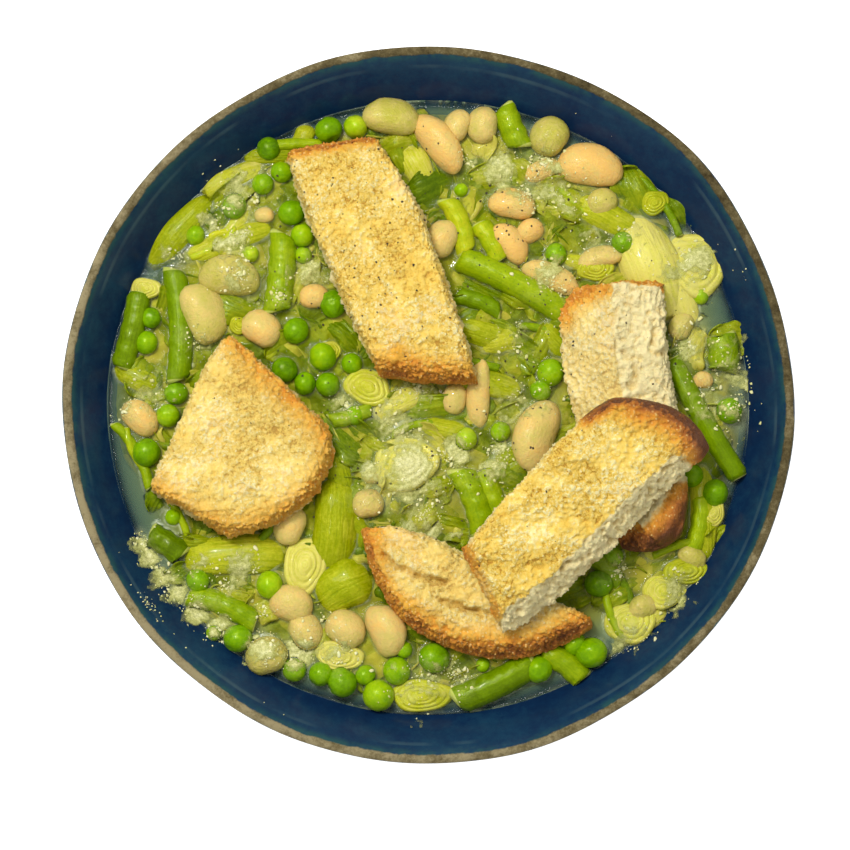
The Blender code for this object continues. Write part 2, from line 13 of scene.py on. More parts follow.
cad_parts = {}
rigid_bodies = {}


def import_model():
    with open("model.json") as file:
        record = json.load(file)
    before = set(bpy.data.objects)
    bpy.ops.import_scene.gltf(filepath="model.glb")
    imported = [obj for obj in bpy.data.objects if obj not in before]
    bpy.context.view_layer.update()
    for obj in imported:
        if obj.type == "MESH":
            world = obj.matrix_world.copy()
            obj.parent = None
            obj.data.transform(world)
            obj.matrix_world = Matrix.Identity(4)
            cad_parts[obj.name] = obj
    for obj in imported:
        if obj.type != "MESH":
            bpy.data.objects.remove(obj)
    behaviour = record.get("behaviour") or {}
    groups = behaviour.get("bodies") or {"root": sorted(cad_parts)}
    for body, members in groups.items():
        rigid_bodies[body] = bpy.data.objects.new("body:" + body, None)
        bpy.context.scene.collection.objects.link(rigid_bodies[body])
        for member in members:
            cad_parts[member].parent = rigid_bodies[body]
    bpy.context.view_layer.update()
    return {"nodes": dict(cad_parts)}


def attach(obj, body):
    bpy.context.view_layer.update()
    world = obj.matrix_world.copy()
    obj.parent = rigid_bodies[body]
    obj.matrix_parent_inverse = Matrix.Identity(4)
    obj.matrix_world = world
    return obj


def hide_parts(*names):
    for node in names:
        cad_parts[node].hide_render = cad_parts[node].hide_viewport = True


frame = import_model()
bpy.ops.object.select_all(action="DESELECT")

# The view
# The bowl was photographed from almost straight above, a step away, with its far side a little foreshortened.
VIEW_HEIGHT = 0.700
VIEW_ELEVATION = math.radians(85.5)
VIEW_LENS = 104.0
RIM_HEIGHT = 0.0575
BROTH_LEVEL = 0.044
PIXEL_AT_BROTH = 0.000292
AXIS_PIXEL = (428, 409)
VIEW_LEAN = 0.0787
VIEW_DISTANCE = 0.713

aim = Vector((-0.0009, -0.0070, RIM_HEIGHT))
reach = Vector((0, -math.cos(VIEW_ELEVATION), math.sin(VIEW_ELEVATION))) * VIEW_HEIGHT
bpy.ops.object.camera_add(location=aim + reach, rotation=(math.pi / 2 - VIEW_ELEVATION, 0, 0))
camera = bpy.context.object
camera.data.lens = VIEW_LENS
camera.data.clip_end = 20
bpy.context.scene.camera = camera


def spot(x_pixel, y_pixel, height=BROTH_LEVEL):
    """The point at this height that a pixel of the photograph shows."""
    rise = height - BROTH_LEVEL
    scale = PIXEL_AT_BROTH * (1 - rise / VIEW_DISTANCE)
    across = (x_pixel - AXIS_PIXEL[0]) * scale
    return Vector((across, (AXIS_PIXEL[1] - y_pixel) * scale - rise * VIEW_LEAN, height))


# The bowl
# Stoneware thrown on a wheel and finished by hand, so its rim is a little oval and lumpy. A blue glaze,
# glossy inside and duller outside, runs thin and greenish at the lip. The lip and foot ring are bare clay.
MILLIMETRES = 1000
LIP_WIDTH = 1.8
FOOT_BARE_BELOW = (0.0052, 0.0060)


def linear(red, green, blue):
    """A colour given as it looks, as shaders take it."""
    parts = [value / 255 for value in (red, green, blue)]
    bent = [part / 12.92 if part <= 0.04045 else ((part + 0.055) / 1.055) ** 2.4 for part in parts]
    return (*bent, 1.0)


class Shade:
    """A socket of a material. Arithmetic on it adds the Math nodes, and node() adds any other."""

    def __init__(self, tree, socket=None):
        self.tree = tree
        self.socket = socket

    def node(self, kind, settings, sockets, out=0):
        made = self.tree.nodes.new("ShaderNode" + kind)
        for key, value in settings.items():
            if key == "stops":
                while len(made.color_ramp.elements) < len(value):
                    made.color_ramp.elements.new(0.5)
                for element, (place, colour) in zip(made.color_ramp.elements, value):
                    element.position = place
                    element.color = linear(*colour)
            else:
                setattr(made, key, value)
        for key, value in sockets.items():
            if isinstance(value, Shade):
                self.tree.links.new(value.socket, made.inputs[key])
            else:
                made.inputs[key].default_value = value
        return Shade(self.tree, made.outputs[out])

    def math(self, operation, *values, clamp=False):
        return self.node("Math", {"operation": operation, "use_clamp": clamp}, dict(enumerate(values)))

    def __add__(self, other):
        return self.math("ADD", self, other)

    def __radd__(self, other):
        return self.math("ADD", other, self)

    def __sub__(self, other):
        return self.math("SUBTRACT", self, other)

    def __rsub__(self, other):
        return self.math("SUBTRACT", other, self)

    def __mul__(self, other):
        return self.math("MULTIPLY", self, other)

    def __rmul__(self, other):
        return self.math("MULTIPLY", other, self)

    def __truediv__(self, other):
        return self.math("DIVIDE", self, other)

    def __pow__(self, other):
        return self.math("POWER", self, other)

    def clamp(self):
        return self.math("ADD", self, 0.0, clamp=True)

    def rise(self, low, high):
        """0 below low and 1 above high, with a soft step between."""
        sockets = {"Value": self, "From Min": low, "From Max": high}
        return self.node("MapRange", {"interpolation_type": "SMOOTHSTEP"}, sockets)

    def larger(self, other):
        return self.math("MAXIMUM", self, other)

    def noise(self, scale, detail=3.0, roughness=0.55, warp=0.0):
        sockets = {"Vector": self, "Scale": scale, "Detail": detail, "Roughness": roughness}
        return self.node("TexNoise", {}, {**sockets, "Distortion": warp})

    def cells(self, scale, out=0):
        """How far off the nearest of some scattered points is, or with out=1 its own random colour."""
        return self.node("TexVoronoi", {}, {"Vector": self, "Scale": scale}, out)

    def blend(self, first, second):
        """The first colour where this value is 0 and the second where it is 1."""
        ends = [end if isinstance(end, Shade) else linear(*end) for end in (first, second)]
        return self.node("Mix", {"data_type": "RGBA"}, {0: self, 6: ends[0], 7: ends[1]}, out=2)

    def ramp(self, *stops):
        """The colours of the stops, each of which is a value and a colour."""
        return self.node("ValToRGB", {"stops": stops}, {0: self})

    def stretched(self, size):
        return self.node("Mapping", {"vector_type": "TEXTURE"}, {"Vector": self, "Scale": size})

    def attribute(self, name):
        return self.node("Attribute", {"attribute_name": name}, {}, out=2)

    def axis(self, index):
        return self.node("SeparateXYZ", {}, {0: self}, out=index)

    def bump(self, strength, distance):
        """A normal that this value raises."""
        return self.node("Bump", {}, {"Height": self, "Strength": strength, "Distance": distance})


def new_finish(name):
    """A material, and its object coordinates as a Shade."""
    made = bpy.data.materials.new(name)
    made.use_nodes = True
    return made, Shade(made.node_tree).node("TexCoord", {}, {}, out=3)


def coat_with(made, sockets):
    """Sets or links sockets of the material's own shader."""
    shader = made.node_tree.nodes["Principled BSDF"]
    for key, value in sockets.items():
        if isinstance(value, Shade):
            made.node_tree.links.new(value.socket, shader.inputs[key])
        else:
            shader.inputs[key].default_value = value


def pick(piece):
    """Leaves this piece alone selected and active."""
    bpy.ops.object.select_all(action="DESELECT")
    piece.select_set(True)
    bpy.context.view_layer.objects.active = piece


def edit_all():
    """Goes into edit mode with everything in the active mesh selected."""
    bpy.ops.object.mode_set(mode="EDIT")
    bpy.ops.mesh.select_all(action="SELECT")


def copy_of(node, name):
    """A new piece with the frame node's shape, its loose triangles merged."""
    source = frame["nodes"][node]
    piece = source.copy()
    piece.data = source.data.copy()
    piece.name = name
    piece.data.name = name
    piece.data.materials.clear()
    for collection in source.users_collection:
        collection.objects.link(piece)
    pick(piece)
    edit_all()
    bpy.ops.mesh.remove_doubles(threshold=0.000002)
    bpy.ops.mesh.normals_make_consistent(inside=False)
    bpy.ops.object.mode_set(mode="OBJECT")
    return piece


def apply_modifier(piece, kind, **settings):
    """Adds a modifier to the piece and applies it."""
    pick(piece)
    modifier = piece.modifiers.new(kind.lower(), kind)
    for key, value in settings.items():
        setattr(modifier, key, value)
    bpy.ops.object.modifier_apply(modifier=modifier.name)


def begun(add, **settings):
    """A new object from one of Blender's own shapes."""
    bpy.ops.object.select_all(action="DESELECT")
    add(**settings)
    return bpy.context.object


def store(piece, name, values):
    """Keeps one number a vertex on the mesh, for its material to read."""
    layer = piece.data.attributes.new(name, "FLOAT", "POINT")
    layer.data.foreach_set("value", np.asarray(values, dtype=np.float32))


def points_of(piece, what="co"):
    """The piece's points, or with what="normal" the directions that they face."""
    flat = np.empty(len(piece.data.vertices) * 3, dtype=np.float32)
    piece.data.vertices.foreach_get(what, flat)
    return flat.reshape(-1, 3)


bowl = copy_of("bowl", "stoneware_bowl")
edit_all()
bpy.ops.mesh.tris_convert_to_quads(face_threshold=math.radians(60), shape_threshold=math.radians(60))
bpy.ops.object.mode_set(mode="OBJECT")
apply_modifier(bowl, "SUBSURF", levels=2, render_levels=2)

where = points_of(bowl)
around = np.degrees(np.arctan2(where[:, 1], where[:, 0])) % 360
crest = np.zeros((360, 2))
for degree in range(360):
    away = np.abs((around - degree + 180) % 360 - 180)
    near = np.flatnonzero((away < 4) & (where[:, 2] > 0.05))
    top = near[np.argsort(where[near, 2])[-6:]]
    crest[degree] = np.hypot(where[top, 0], where[top, 1]).mean(), where[top, 2].mean()
at_crest = crest[np.round(around).astype(int) % 360]
radii = np.hypot(where[:, 0], where[:, 1])
from_lip = np.hypot(radii - at_crest[:, 0], where[:, 2] - at_crest[:, 1])
store(bowl, "from_lip", np.minimum(from_lip, 0.05) * MILLIMETRES)
store(bowl, "inside", np.clip(points_of(bowl, "normal")[:, 2] * 5, 0, 1))

stoneware, at = new_finish("blue_glazed_stoneware")
from_lip = at.attribute("from_lip")
height = at.axis(2)
edge = at.noise(420, 4, 0.7) * 1.3 + at.noise(90, 2) * 1.2
bare_lip = 1 - (from_lip + edge - 1.25).rise(LIP_WIDTH - 0.7, LIP_WIDTH - 0.1)
bare_foot = 1 - (height + at.noise(60, 3) * 0.002).rise(*FOOT_BARE_BELOW)
bare = bare_lip.larger(bare_foot)
cloudy = at.noise(26, 5, 0.62, 0.6)
streaks = at.noise(150, 4, 0.7)
speckle = at.noise(520, 4, 0.8)
uneven = (cloudy - 0.5) * 0.55 + (streaks - 0.5) * 0.5 + (speckle - 0.5) * 0.35
thin = (1 - (from_lip / 18).clamp()) * 0.30 + uneven
glaze = (thin + 0.25).ramp(
    (0.0, (8, 24, 54)), (0.30, (12, 38, 68)), (0.55, (22, 56, 80)), (0.9, (46, 84, 90)),
)
green_edge = (1 - from_lip.rise(1.6, 4.2)) * at.noise(120, 3, 0.7).rise(0.35, 0.6) * 0.5
glaze = green_edge.blend(glaze, (44, 88, 74))
# A faint pale line in the glaze a few millimetres inside the lip is a painted highlight along the rounding of
# the inner edge.
painted_glint_line = from_lip.rise(4.6, 5.2) * (1 - from_lip.rise(5.6, 6.6)) * at.noise(40, 2).rise(0.42, 0.62) * 0.22
glaze = painted_glint_line.blend(glaze, (92, 118, 116))
grit = at.noise(900, 5, 0.8)
# The bare clay is painted darker towards the far right of the rim and lighter towards the near left: painted
# shade and painted light on the lip.
painted_lip_light_and_shade = at.axis(0) * 0.9 + at.axis(1) * 0.7
clay = (grit * 0.6 + at.noise(160, 3) * 0.5 - painted_lip_light_and_shade).ramp(
    (0.3, (54, 46, 28)), (0.5, (98, 87, 58)), (0.68, (146, 134, 100)),
)
coat_with(stoneware, {
    "Base Color": bare.blend(glaze, clay),
    "Roughness": bare * 0.62 + 0.26 + (cloudy - 0.5) * 0.1,
    "Specular IOR Level": 0.03,
    "Coat Roughness": 0.16,
    "Coat Weight": (1 - bare) * (at.attribute("inside") * 0.28 + 0.03),
    "Normal": (grit * bare + (cloudy * 0.2 + streaks * 0.1) * (1 - bare)).bump(0.5, 0.0006),
})
bowl.data.materials.append(stoneware)
bpy.ops.object.shade_smooth()
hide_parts("bowl")
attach(bowl, "root")

# The toasts
# Strips and half rounds cut from a country loaf, spread with grated hard cheese and baked until golden. The
# top is a knobbly cheese skin, the cut sides are open white crumb, and the loaf's own edge is a brown crust.
TOAST_VOXEL = 0.00046
# Each toast's top height, how browned and how yellow it is, and lines through pixels: the loaf's edge, with
# the browned band's width and depth of colour; cut faces that slope, with their width and slope; and tears.
TOASTS = {
    "toast_top": {
        "height": 0.058, "browning": 0.45, "yellow": 0.85,
        "crusts": (
            (0.0110, 0.72, ((384, 380), (403, 380), (419, 387), (441, 391), (482, 389))),
            (0.0042, 0.7, ((284, 152), (378, 137))),
        ),
        "cuts": (), "tears": (),
    },
    "toast_left": {
        "height": 0.057, "browning": 0.35, "yellow": 0.62,
        "crusts": (
            (0.0090, 0.48, (
                (228, 338), (240, 348), (274, 383), (307, 412), (331, 438), (335, 454), (331, 476),
                (317, 497), (296, 515), (265, 533), (236, 540), (214, 534), (185, 521), (153, 498),
            )),
        ),
        "cuts": (), "tears": (),
    },
    "toast_right": {
        "height": 0.058, "browning": 0.15, "yellow": 0.25,
        "crusts": (
            (0.0130, 1.08, ((610, 558), (644, 558), (672, 544), (689, 512))),
            (0.0075, 0.62, ((558, 316), (569, 297), (590, 288), (604, 285))),
            (0.0030, 0.55, ((609, 283), (663, 285), (667, 292))),
        ),
        "cuts": ((0.0155, 0.10, ((664, 287), (668, 350), (676, 405), (684, 500))),), "tears": (),
    },
    "toast_low": {
        "height": 0.056, "browning": 0.55, "yellow": 0.55,
        "crusts": (
            (0.0075, 0.68, ((367, 526), (364, 534), (368, 569), (380, 597), (402, 626))),
            (0.0105, 0.76, (
                (402, 626), (427, 645), (453, 655), (484, 660), (508, 660), (548, 652), (590, 627),
            )),
        ),
        "cuts": (),
        "tears": (
            ((384, 560), (398, 571), (412, 577), (428, 583), (446, 586)),
            ((437, 601), (462, 611), (488, 617)),
        ),
    },
    "toast_across": {
        "height": 0.0755, "browning": 0.10, "yellow": 0.95,
        "crusts": (
            (0.0065, 1.0, ((585, 414), (611, 401), (644, 398))),
            (0.0130, 1.12, ((644, 398), (672, 405), (696, 423), (712, 449))),
            (0.0036, 0.6, ((462, 550), (481, 602), (493, 620))),
        ),
        "cuts": ((0.0056, 0.75, (
            (716, 452), (698, 470), (672, 488), (646, 512), (618, 540), (591, 567), (565, 594), (539, 616),
            (520, 628),
        )),),
        "tears": (),
    },
}


def distance_to_line(points, line, height):
    """Each point's distance, seen from above, to a line through some pixels at a height."""
    corners = [np.array(spot(x, y, height)[:2]) for x, y in line]
    best = np.full(len(points), 1.0)
    for start, end in zip(corners, corners[1:]):
        along = end - start
        share = np.clip((points[:, :2] - start) @ along / (along @ along), 0, 1)
        best = np.minimum(best, np.linalg.norm(points[:, :2] - (start + share[:, None] * along), axis=1))
    return best


def noise_at(points, scale, seed, row=0):
    """Smooth noise from about -1 to 1 at each point."""
    return np.array([noise.noise(Vector(point) * scale + Vector((seed, row, 0))) for point in points])


def from_tear(points, line, height):
    """Each point's distance to a tear, whose edges are ragged."""
    return distance_to_line(points, line, height) + 0.0009 * noise_at(points, 420, 5)


def granules_at(points, scale, seed):
    """Domed grains packed side by side: 0 in the clefts between them and about 0.5 on top of each."""
    shift = Vector((seed, 0, 0))
    return np.array([max(0.0, 0.6 - noise.voronoi(Vector(point) * scale + shift)[0][0]) for point in points])


def slope_down(where, normals, toast):
    """Lowers a toast's cut faces and rounds its crusts over, the more the higher up a point is."""
    heights = []
    for facing in (-1, 1):
        flat = where[normals[:, 2] * facing > 0.85]
        plane = np.linalg.lstsq(np.c_[flat[:, :2], np.ones(len(flat))], flat[:, 2], rcond=None)[0]
        heights.append(where[:, :2] @ plane[:2] + plane[2])
    share = np.clip((where[:, 2] - heights[0]) / (heights[1] - heights[0]), 0, 1)
    drop = np.zeros(len(where))
    for reach, slope, line in toast["cuts"]:
        drop += slope * np.clip(reach - distance_to_line(where, line, toast["height"]), 0, 1)
    for reach, depth, line in toast["crusts"]:
        away = distance_to_line(where, line, toast["height"])
        drop = np.maximum(drop, 0.0034 * depth * np.clip(1 - away / (reach * 0.6), 0, 1) ** 2)
    for line in toast["tears"]:
        drop += 0.0028 * np.clip(1 - from_tear(where, line, toast["height"]) / 0.0012, 0, 1)
    where[:, 2] -= share * drop


def knobble(piece, toast, seed):
    """Roughens a toast: clustered cheese grains on its top, torn holes in its sides, a smooth hard crust."""
    where, normals = points_of(piece), points_of(piece, "normal")
    height = toast["height"]
    up = np.clip(normals[:, 2] / 0.35, 0, 1)
    slope_down(where, normals, toast)
    for reach, _, line in toast["cuts"]:
        past = (distance_to_line(where, line, height) - reach + 0.0004) / 0.0010
        up *= np.clip(past + noise_at(where, 500, seed), 0, 1)
    bands = [
        depth * (1 - (distance_to_line(where, line, height) - 0.0006) / reach)
        for reach, depth, line in toast["crusts"]
    ]
    tears = [0.8 - from_tear(where, line, height) / 0.0013 for line in toast["tears"]]
    torn = np.clip(np.max(tears, axis=0), 0, 1) if tears else np.zeros(len(where))
    crust = np.clip(np.max(bands, axis=0), 0, 1)
    side = 1 - up
    hard = np.clip(crust * 2.4 - 1.3 - 0.2 * up, 0, 1)
    big = noise_at(where, 120, seed)
    middle = noise_at(where, 400, seed + 9)
    coarse = granules_at(where, 620, seed + 3)
    grains = granules_at(where, 1150, seed + 21)
    lumps = (0.0014 * (coarse - 0.3) + 0.0015 * (grains - 0.3)) * (1 + 0.7 * crust)
    lumps += 0.0006 * big + 0.0004 * middle
    ragged = 0.0008 * noise_at(where, 120, seed + 60) + 0.0008 * noise_at(where, 380, seed + 33)
    ragged += 0.0013 * (grains - 0.3)
    holes = np.clip(noise_at(where, 330, seed + 40) - 0.10, 0, 1) * 0.0018
    holes += np.clip(noise_at(where, 700, seed + 51) - 0.05, 0, 1) * 0.0020
    rough = up * lumps + side * (1 - hard) * (ragged - holes) + side * hard * 0.0003 * middle
    moved = where + normals * (rough * (1 - 0.6 * hard))[:, None]
    piece.data.vertices.foreach_set("co", moved.astype(np.float32).ravel())
    store(piece, "up", up)
    store(piece, "crust", crust)
    # Holes in the sides and the tears are stored so that the material can paint them darker: painted shade in
    # the recesses.
    store(piece, "hollow", np.clip(np.maximum(holes * 500 * side, torn), 0, 1))
    # Paler on the tops of the grains and darker down in the tears: partly the cheese's own colour, partly
    # painted light on the grain tops and painted shade in the tears.
    paler = 0.15 + 0.8 * grains + 0.6 * coarse + 0.2 * middle + 0.2 * big - 0.5 * torn
    store(piece, "grain", np.clip(paler, 0, 1))


def toasted(name, browning, yellow):
    """Bread with baked cheese: pale crumb sides, a grainy golden top, a brown crust that fades inwards, with
    painted shade in its holes, tears and the clefts between its grains.
    """
    made, at = new_finish(name)
    up, hollow, grain, crust = (at.attribute(key) for key in ("up", "hollow", "grain", "crust"))
    patches = at.noise(70, 3, 0.6)
    fine = at.noise(1500, 3, 0.75)
    dots = (1 - at.cells(1150).rise(0.22, 0.45)) * at.cells(1150, out=1).axis(0).rise(0.30, 0.95)
    # The clefts between the grains are painted darker, which is painted shade between them; the same value
    # also deepens the bump.
    clefts = at.cells(900).rise(0.50, 0.85)
    melted = at.noise(95, 3, 0.6).rise(0.46, 0.60) * (1 - crust)
    speckle = ((fine - 0.5) * 2.0 + dots * 0.35 - clefts * 0.40) * (1 - melted * 0.6)
    height = (grain * 0.6 + (patches - 0.5) * 1.5 + speckle + 0.36).clamp()
    shades = []
    for place, colour in (
        (0.00, (186, 136, 40)), (0.26, (228, 188, 70)), (0.58, (240, 208, 102)), (0.90, (250, 238, 176)),
    ):
        mixed = [part + (pale - part) * (1 - yellow) * 0.6 for part, pale in zip(colour, (236, 220, 172))]
        shades.append((place, mixed))
    cheese = height.ramp(*shades)
    baked = patches.rise(0.62 - browning * 0.2, 0.86 - browning * 0.2) * 0.6 + crust.rise(0.02, 0.50) * 0.9
    cheese = (baked * (1 - dots * 0.6)).clamp().blend(cheese, (234, 176, 60))
    # Holes and tears are painted darker in the crumb and on the top: painted shade where they are recessed.
    crumb = (hollow * 0.8 + (fine - 0.52) * 1.5).clamp().blend((244, 228, 168), (200, 166, 86))
    bread = up.rise(0.05, 0.40).blend(crumb, cheese)
    bread = (hollow * up * 0.8).blend(bread, (190, 146, 62))
    # Low grain, in clefts and tears, browns the top a little more: partly toasting, partly painted shade.
    scorch = (crust + (at.noise(230, 4, 0.65) - 0.5) * 0.6 + (0.45 - grain) * up * 0.35).clamp()
    brown = scorch.ramp(
        (0.42, (238, 182, 70)), (0.62, (224, 150, 46)), (0.82, (178, 106, 40)), (0.99, (106, 62, 30)),
    )
    brown = (dots * 0.75 * (1 - scorch.rise(0.75, 0.95))).blend(brown, (246, 214, 136))
    coat_with(made, {
        "Base Color": scorch.rise(0.36, 0.56).blend(bread, brown),
        "Roughness": 0.60 - scorch * 0.22 + hollow * 0.2,
        "Specular IOR Level": 0.3,
        "Subsurface Weight": 0.10,
        "Subsurface Radius": (0.003, 0.002, 0.001),
        "Normal": (speckle * 0.8 + at.noise(3200, 2) * 0.4).bump(0.8, 0.0006),
    })
    return made


for seed, (name, toast) in enumerate(TOASTS.items()):
    piece = copy_of(name, name + "_bread")
    apply_modifier(piece, "SUBSURF", levels=1, render_levels=1)
    apply_modifier(piece, "REMESH", mode="VOXEL", voxel_size=TOAST_VOXEL)
    knobble(piece, toast, seed * 70)
    piece.data.materials.append(toasted("baked_" + name, toast["browning"], toast["yellow"]))
    pick(piece)
    bpy.ops.object.shade_smooth()
    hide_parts(name)
    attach(piece, "root")

# The bed of greens
# Under the pieces that show lies a packed, shredded mass of the same vegetables, its top just at the broth's
# surface and a few millimetres under it where clear broth pools. Cheese has melted over it all in drifts.
WALL_AT_BROTH = 0.0939
WALL_CENTRE = (0.0276, 0.092)
WALL_CURVE = 0.082
OVAL = 0.975
SOUP_OVAL = 0.95
GREEN_SHINE = (0.85, 1.0, 0.15, 1)
POOLS = ((203, 9, 0.013), (-51, 8, 0.014), (17, 6, 0.009), (150, 5, 0.004), (-118, 7, 0.004))


def bed_reach(angle):
    """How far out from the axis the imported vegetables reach."""
    reach = (WALL_AT_BROTH - 0.0022) * (1 - 0.05 * math.sin(angle) ** 2)
    for degrees, spread, depth in POOLS:
        away = (math.degrees(angle) - degrees + 180) % 360 - 180
        reach -= depth * math.exp(-((away / spread) ** 2))
    return reach


def wall_reach(heights):
    """How far out the bowl's inner wall is at these heights."""
    return WALL_CENTRE[0] + np.sqrt(WALL_CURVE**2 - (WALL_CENTRE[1] - heights) ** 2)


CLOUD_DRIFTS = (
    (405, 480, 62, 0.72), (410, 474, 34, 1.1), (455, 458, 26, 0.75), (398, 426, 30, 0.75),
    (418, 393, 24, 0.55), (347, 410, 22, 0.6), (497, 453, 20, 0.6), (494, 474, 26, 0.6),
    (420, 522, 44, 0.5), (510, 410, 30, 0.4), (545, 400, 26, 0.45), (500, 178, 30, 0.62),
    (528, 196, 28, 0.55), (545, 165, 34, 0.5), (575, 200, 34, 0.45), (470, 165, 24, 0.4),
    (690, 268, 44, 0.62), (640, 245, 34, 0.35), (735, 372, 34, 0.6), (712, 400, 36, 0.5),
    (690, 350, 34, 0.55), (735, 418, 26, 0.6), (548, 280, 34, 0.45), (598, 250, 28, 0.4),
    (142, 545, 15, 0.85), (153, 562, 15, 0.85), (166, 581, 17, 0.9), (181, 598, 18, 0.95),
    (199, 615, 19, 0.95), (220, 632, 17, 0.9), (247, 568, 22, 0.7), (202, 568, 18, 0.6),
    (228, 592, 20, 0.7), (266, 650, 24, 0.95), (300, 656, 24, 0.85), (268, 618, 16, 0.5),
    (340, 655, 30, 0.4), (420, 690, 44, 0.5), (455, 676, 26, 0.4), (322, 625, 24, 0.3),
    (236, 198, 44, 0.5), (214, 222, 24, 0.4), (238, 246, 26, 0.55), (240, 280, 34, 0.55),
    (312, 272, 26, 0.5), (200, 345, 26, 0.45), (150, 400, 34, 0.45), (130, 412, 20, 0.5),
    (282, 300, 20, 0.4), (180, 260, 22, 0.45), (630, 630, 36, 0.5), (672, 590, 34, 0.45),
    (615, 575, 26, 0.35), (560, 300, 24, 0.35), (520, 350, 34, 0.4),
)


def soft_step(values):
    """Values held between 0 and 1 and eased at both ends."""
    held = np.clip(values, 0, 1)
    return held * held * (3 - 2 * held)


def drift_at(where):
    """How thick cheese has drifted over each point, from 0 to 1."""
    drift = np.zeros(len(where))
    for x_pixel, y_pixel, spread, amount in CLOUD_DRIFTS:
        centre = spot(x_pixel, y_pixel)
        away = np.hypot(where[:, 0] - centre.x, where[:, 1] - centre.y) / (spread * PIXEL_AT_BROTH)
        drift = np.maximum(drift, amount * soft_step(1 - away / 1.3))
    return drift


def close_below():
    """Closes the active sheet with a shallow wall and a slightly narrower floor."""
    bpy.ops.object.mode_set(mode="EDIT")
    bpy.ops.mesh.select_mode(type="EDGE")
    bpy.ops.mesh.select_all(action="DESELECT")
    bpy.ops.mesh.select_non_manifold()
    bpy.ops.mesh.extrude_region_move(TRANSFORM_OT_translate={"value": (0, 0, -0.004)})
    bpy.ops.transform.resize(value=(0.93, 0.93, 1), center_override=(0, 0, 0.038))
    bpy.ops.mesh.edge_face_add()
    bpy.ops.mesh.select_all(action="SELECT")
    bpy.ops.mesh.normals_make_consistent(inside=False)
    bpy.ops.object.mode_set(mode="OBJECT")


def melted_cheese(at):
    """Where cheese has melted on, from 0 to 1: torn strands and fine specks inside the drifts."""
    strands = at.noise(120, 6, 0.68, 1.8).rise(0.47, 0.62)
    specks = at.noise(750, 3, 0.7).rise(0.55, 0.66)
    return (at.attribute("drift") * (strands * 0.75 + specks * 0.5)).clamp()


bed = begun(bpy.ops.mesh.primitive_grid_add, x_subdivisions=230, y_subdivisions=230, size=2)
bed.name = "bed_of_greens"
for vertex in bed.data.vertices:
    x, y = vertex.co.x, vertex.co.y
    round_x, round_y = x * math.sqrt(1 - y * y / 2), y * math.sqrt(1 - x * x / 2)
    reach = bed_reach(math.atan2(round_y, round_x))
    share = math.hypot(round_x, round_y)
    place = Vector((round_x * reach, round_y * reach, 0))
    shreds = noise.ridged_multi_fractal(place * 75, 0.9, 2.1, 4, 1.0, 2.0)
    folds = noise.noise(place * 130 + Vector((7, 0, 0))) + 0.5 * noise.noise(place * 320)
    height = 0.0436 + 0.0007 * shreds + 0.0008 * folds - 0.0045 * max(0.0, (share - 0.93) / 0.07) ** 2
    vertex.co = (place.x, place.y, height)
close_below()

store(bed, "drift", drift_at(points_of(bed)))

greens, at = new_finish("shredded_greens")
flat = at.stretched((1, 1, 3))
patch = flat.cells(140, out=1).axis(0)
blotch = flat.noise(120, 4, 0.6, 0.8)
leafy = (patch * 0.45 + blotch * 0.7).ramp(
    (0.25, (58, 76, 0)), (0.42, (96, 112, 0)), (0.58, (134, 140, 12)), (0.80, (178, 168, 56)),
)
coat_with(greens, {
    "Base Color": (melted_cheese(at) * 0.9).blend(leafy, (200, 198, 118)),
    "Roughness": 0.3,
    "Specular IOR Level": 0.3,
    "Specular Tint": GREEN_SHINE,
    "Subsurface Weight": 0.15,
    "Subsurface Radius": (0.002, 0.003, 0.0008),
    "Normal": (flat.noise(500, 4, 0.7) + flat.cells(300)).bump(0.6, 0.0006),
})
bed.data.materials.append(greens)
bpy.ops.object.shade_smooth()
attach(bed, "root")
heap = [bed]


class Crop:
    """Copies of modelled vegetables, each with its own mesh, gathered into one piece."""

    def __init__(self, name):
        self.name = name
        self.points, self.loops, self.sizes = [], [], []
        self.notes = {"tone": [], "along": [], "across": []}
        self.count = 0

    def lay(self, model, matrix, tone, bow=0.0, droop=0.0):
        """One copy of the model, bowed sideways and drooped at its ends in its own frame, then placed."""
        where = points_of(model).astype(np.float64)
        along, across = where[:, 0].copy(), where[:, 1].copy()
        where[:, 1] += bow * (1 - (2 * along) ** 2)
        where[:, 2] -= droop * (2 * along) ** 2
        loops = np.empty(len(model.data.loops), dtype=np.int32)
        model.data.loops.foreach_get("vertex_index", loops)
        sizes = np.empty(len(model.data.polygons), dtype=np.int32)
        model.data.polygons.foreach_get("loop_total", sizes)
        self.points.append(where @ np.array(matrix.to_3x3()).T + np.array(matrix.translation))
        self.loops.append(loops + self.count)
        self.sizes.append(sizes)
        for key, values in (("tone", np.full(len(where), tone)), ("along", along), ("across", across)):
            self.notes[key].append(values)
        self.count += len(where)

    def gather(self, made, slot="vegetables"):
        loops = np.concatenate(self.loops)
        sizes = np.concatenate(self.sizes)
        mesh = bpy.data.meshes.new(self.name)
        mesh.vertices.add(self.count)
        where = np.concatenate(self.points)
        outward = np.hypot(where[:, 0], where[:, 1] / OVAL)
        where[:, :2] *= np.minimum(1, (wall_reach(where[:, 2]) + 0.0012) / np.maximum(outward, 0.01))[:, None]
        mesh.vertices.foreach_set("co", where.astype(np.float32).ravel())
        mesh.loops.add(len(loops))
        mesh.loops.foreach_set("vertex_index", loops)
        mesh.polygons.add(len(sizes))
        mesh.polygons.foreach_set("loop_start", np.concatenate(([0], np.cumsum(sizes)[:-1])).astype(np.int32))
        mesh.update(calc_edges=True)
        piece = bpy.data.objects.new(self.name, mesh)
        bpy.context.scene.collection.objects.link(piece)
        for key, values in self.notes.items():
            store(piece, key, np.concatenate(values))
        store(piece, "drift", drift_at(where))
        mesh.materials.append(made)
        mesh.shade_smooth()
        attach(piece, "root")
        return piece


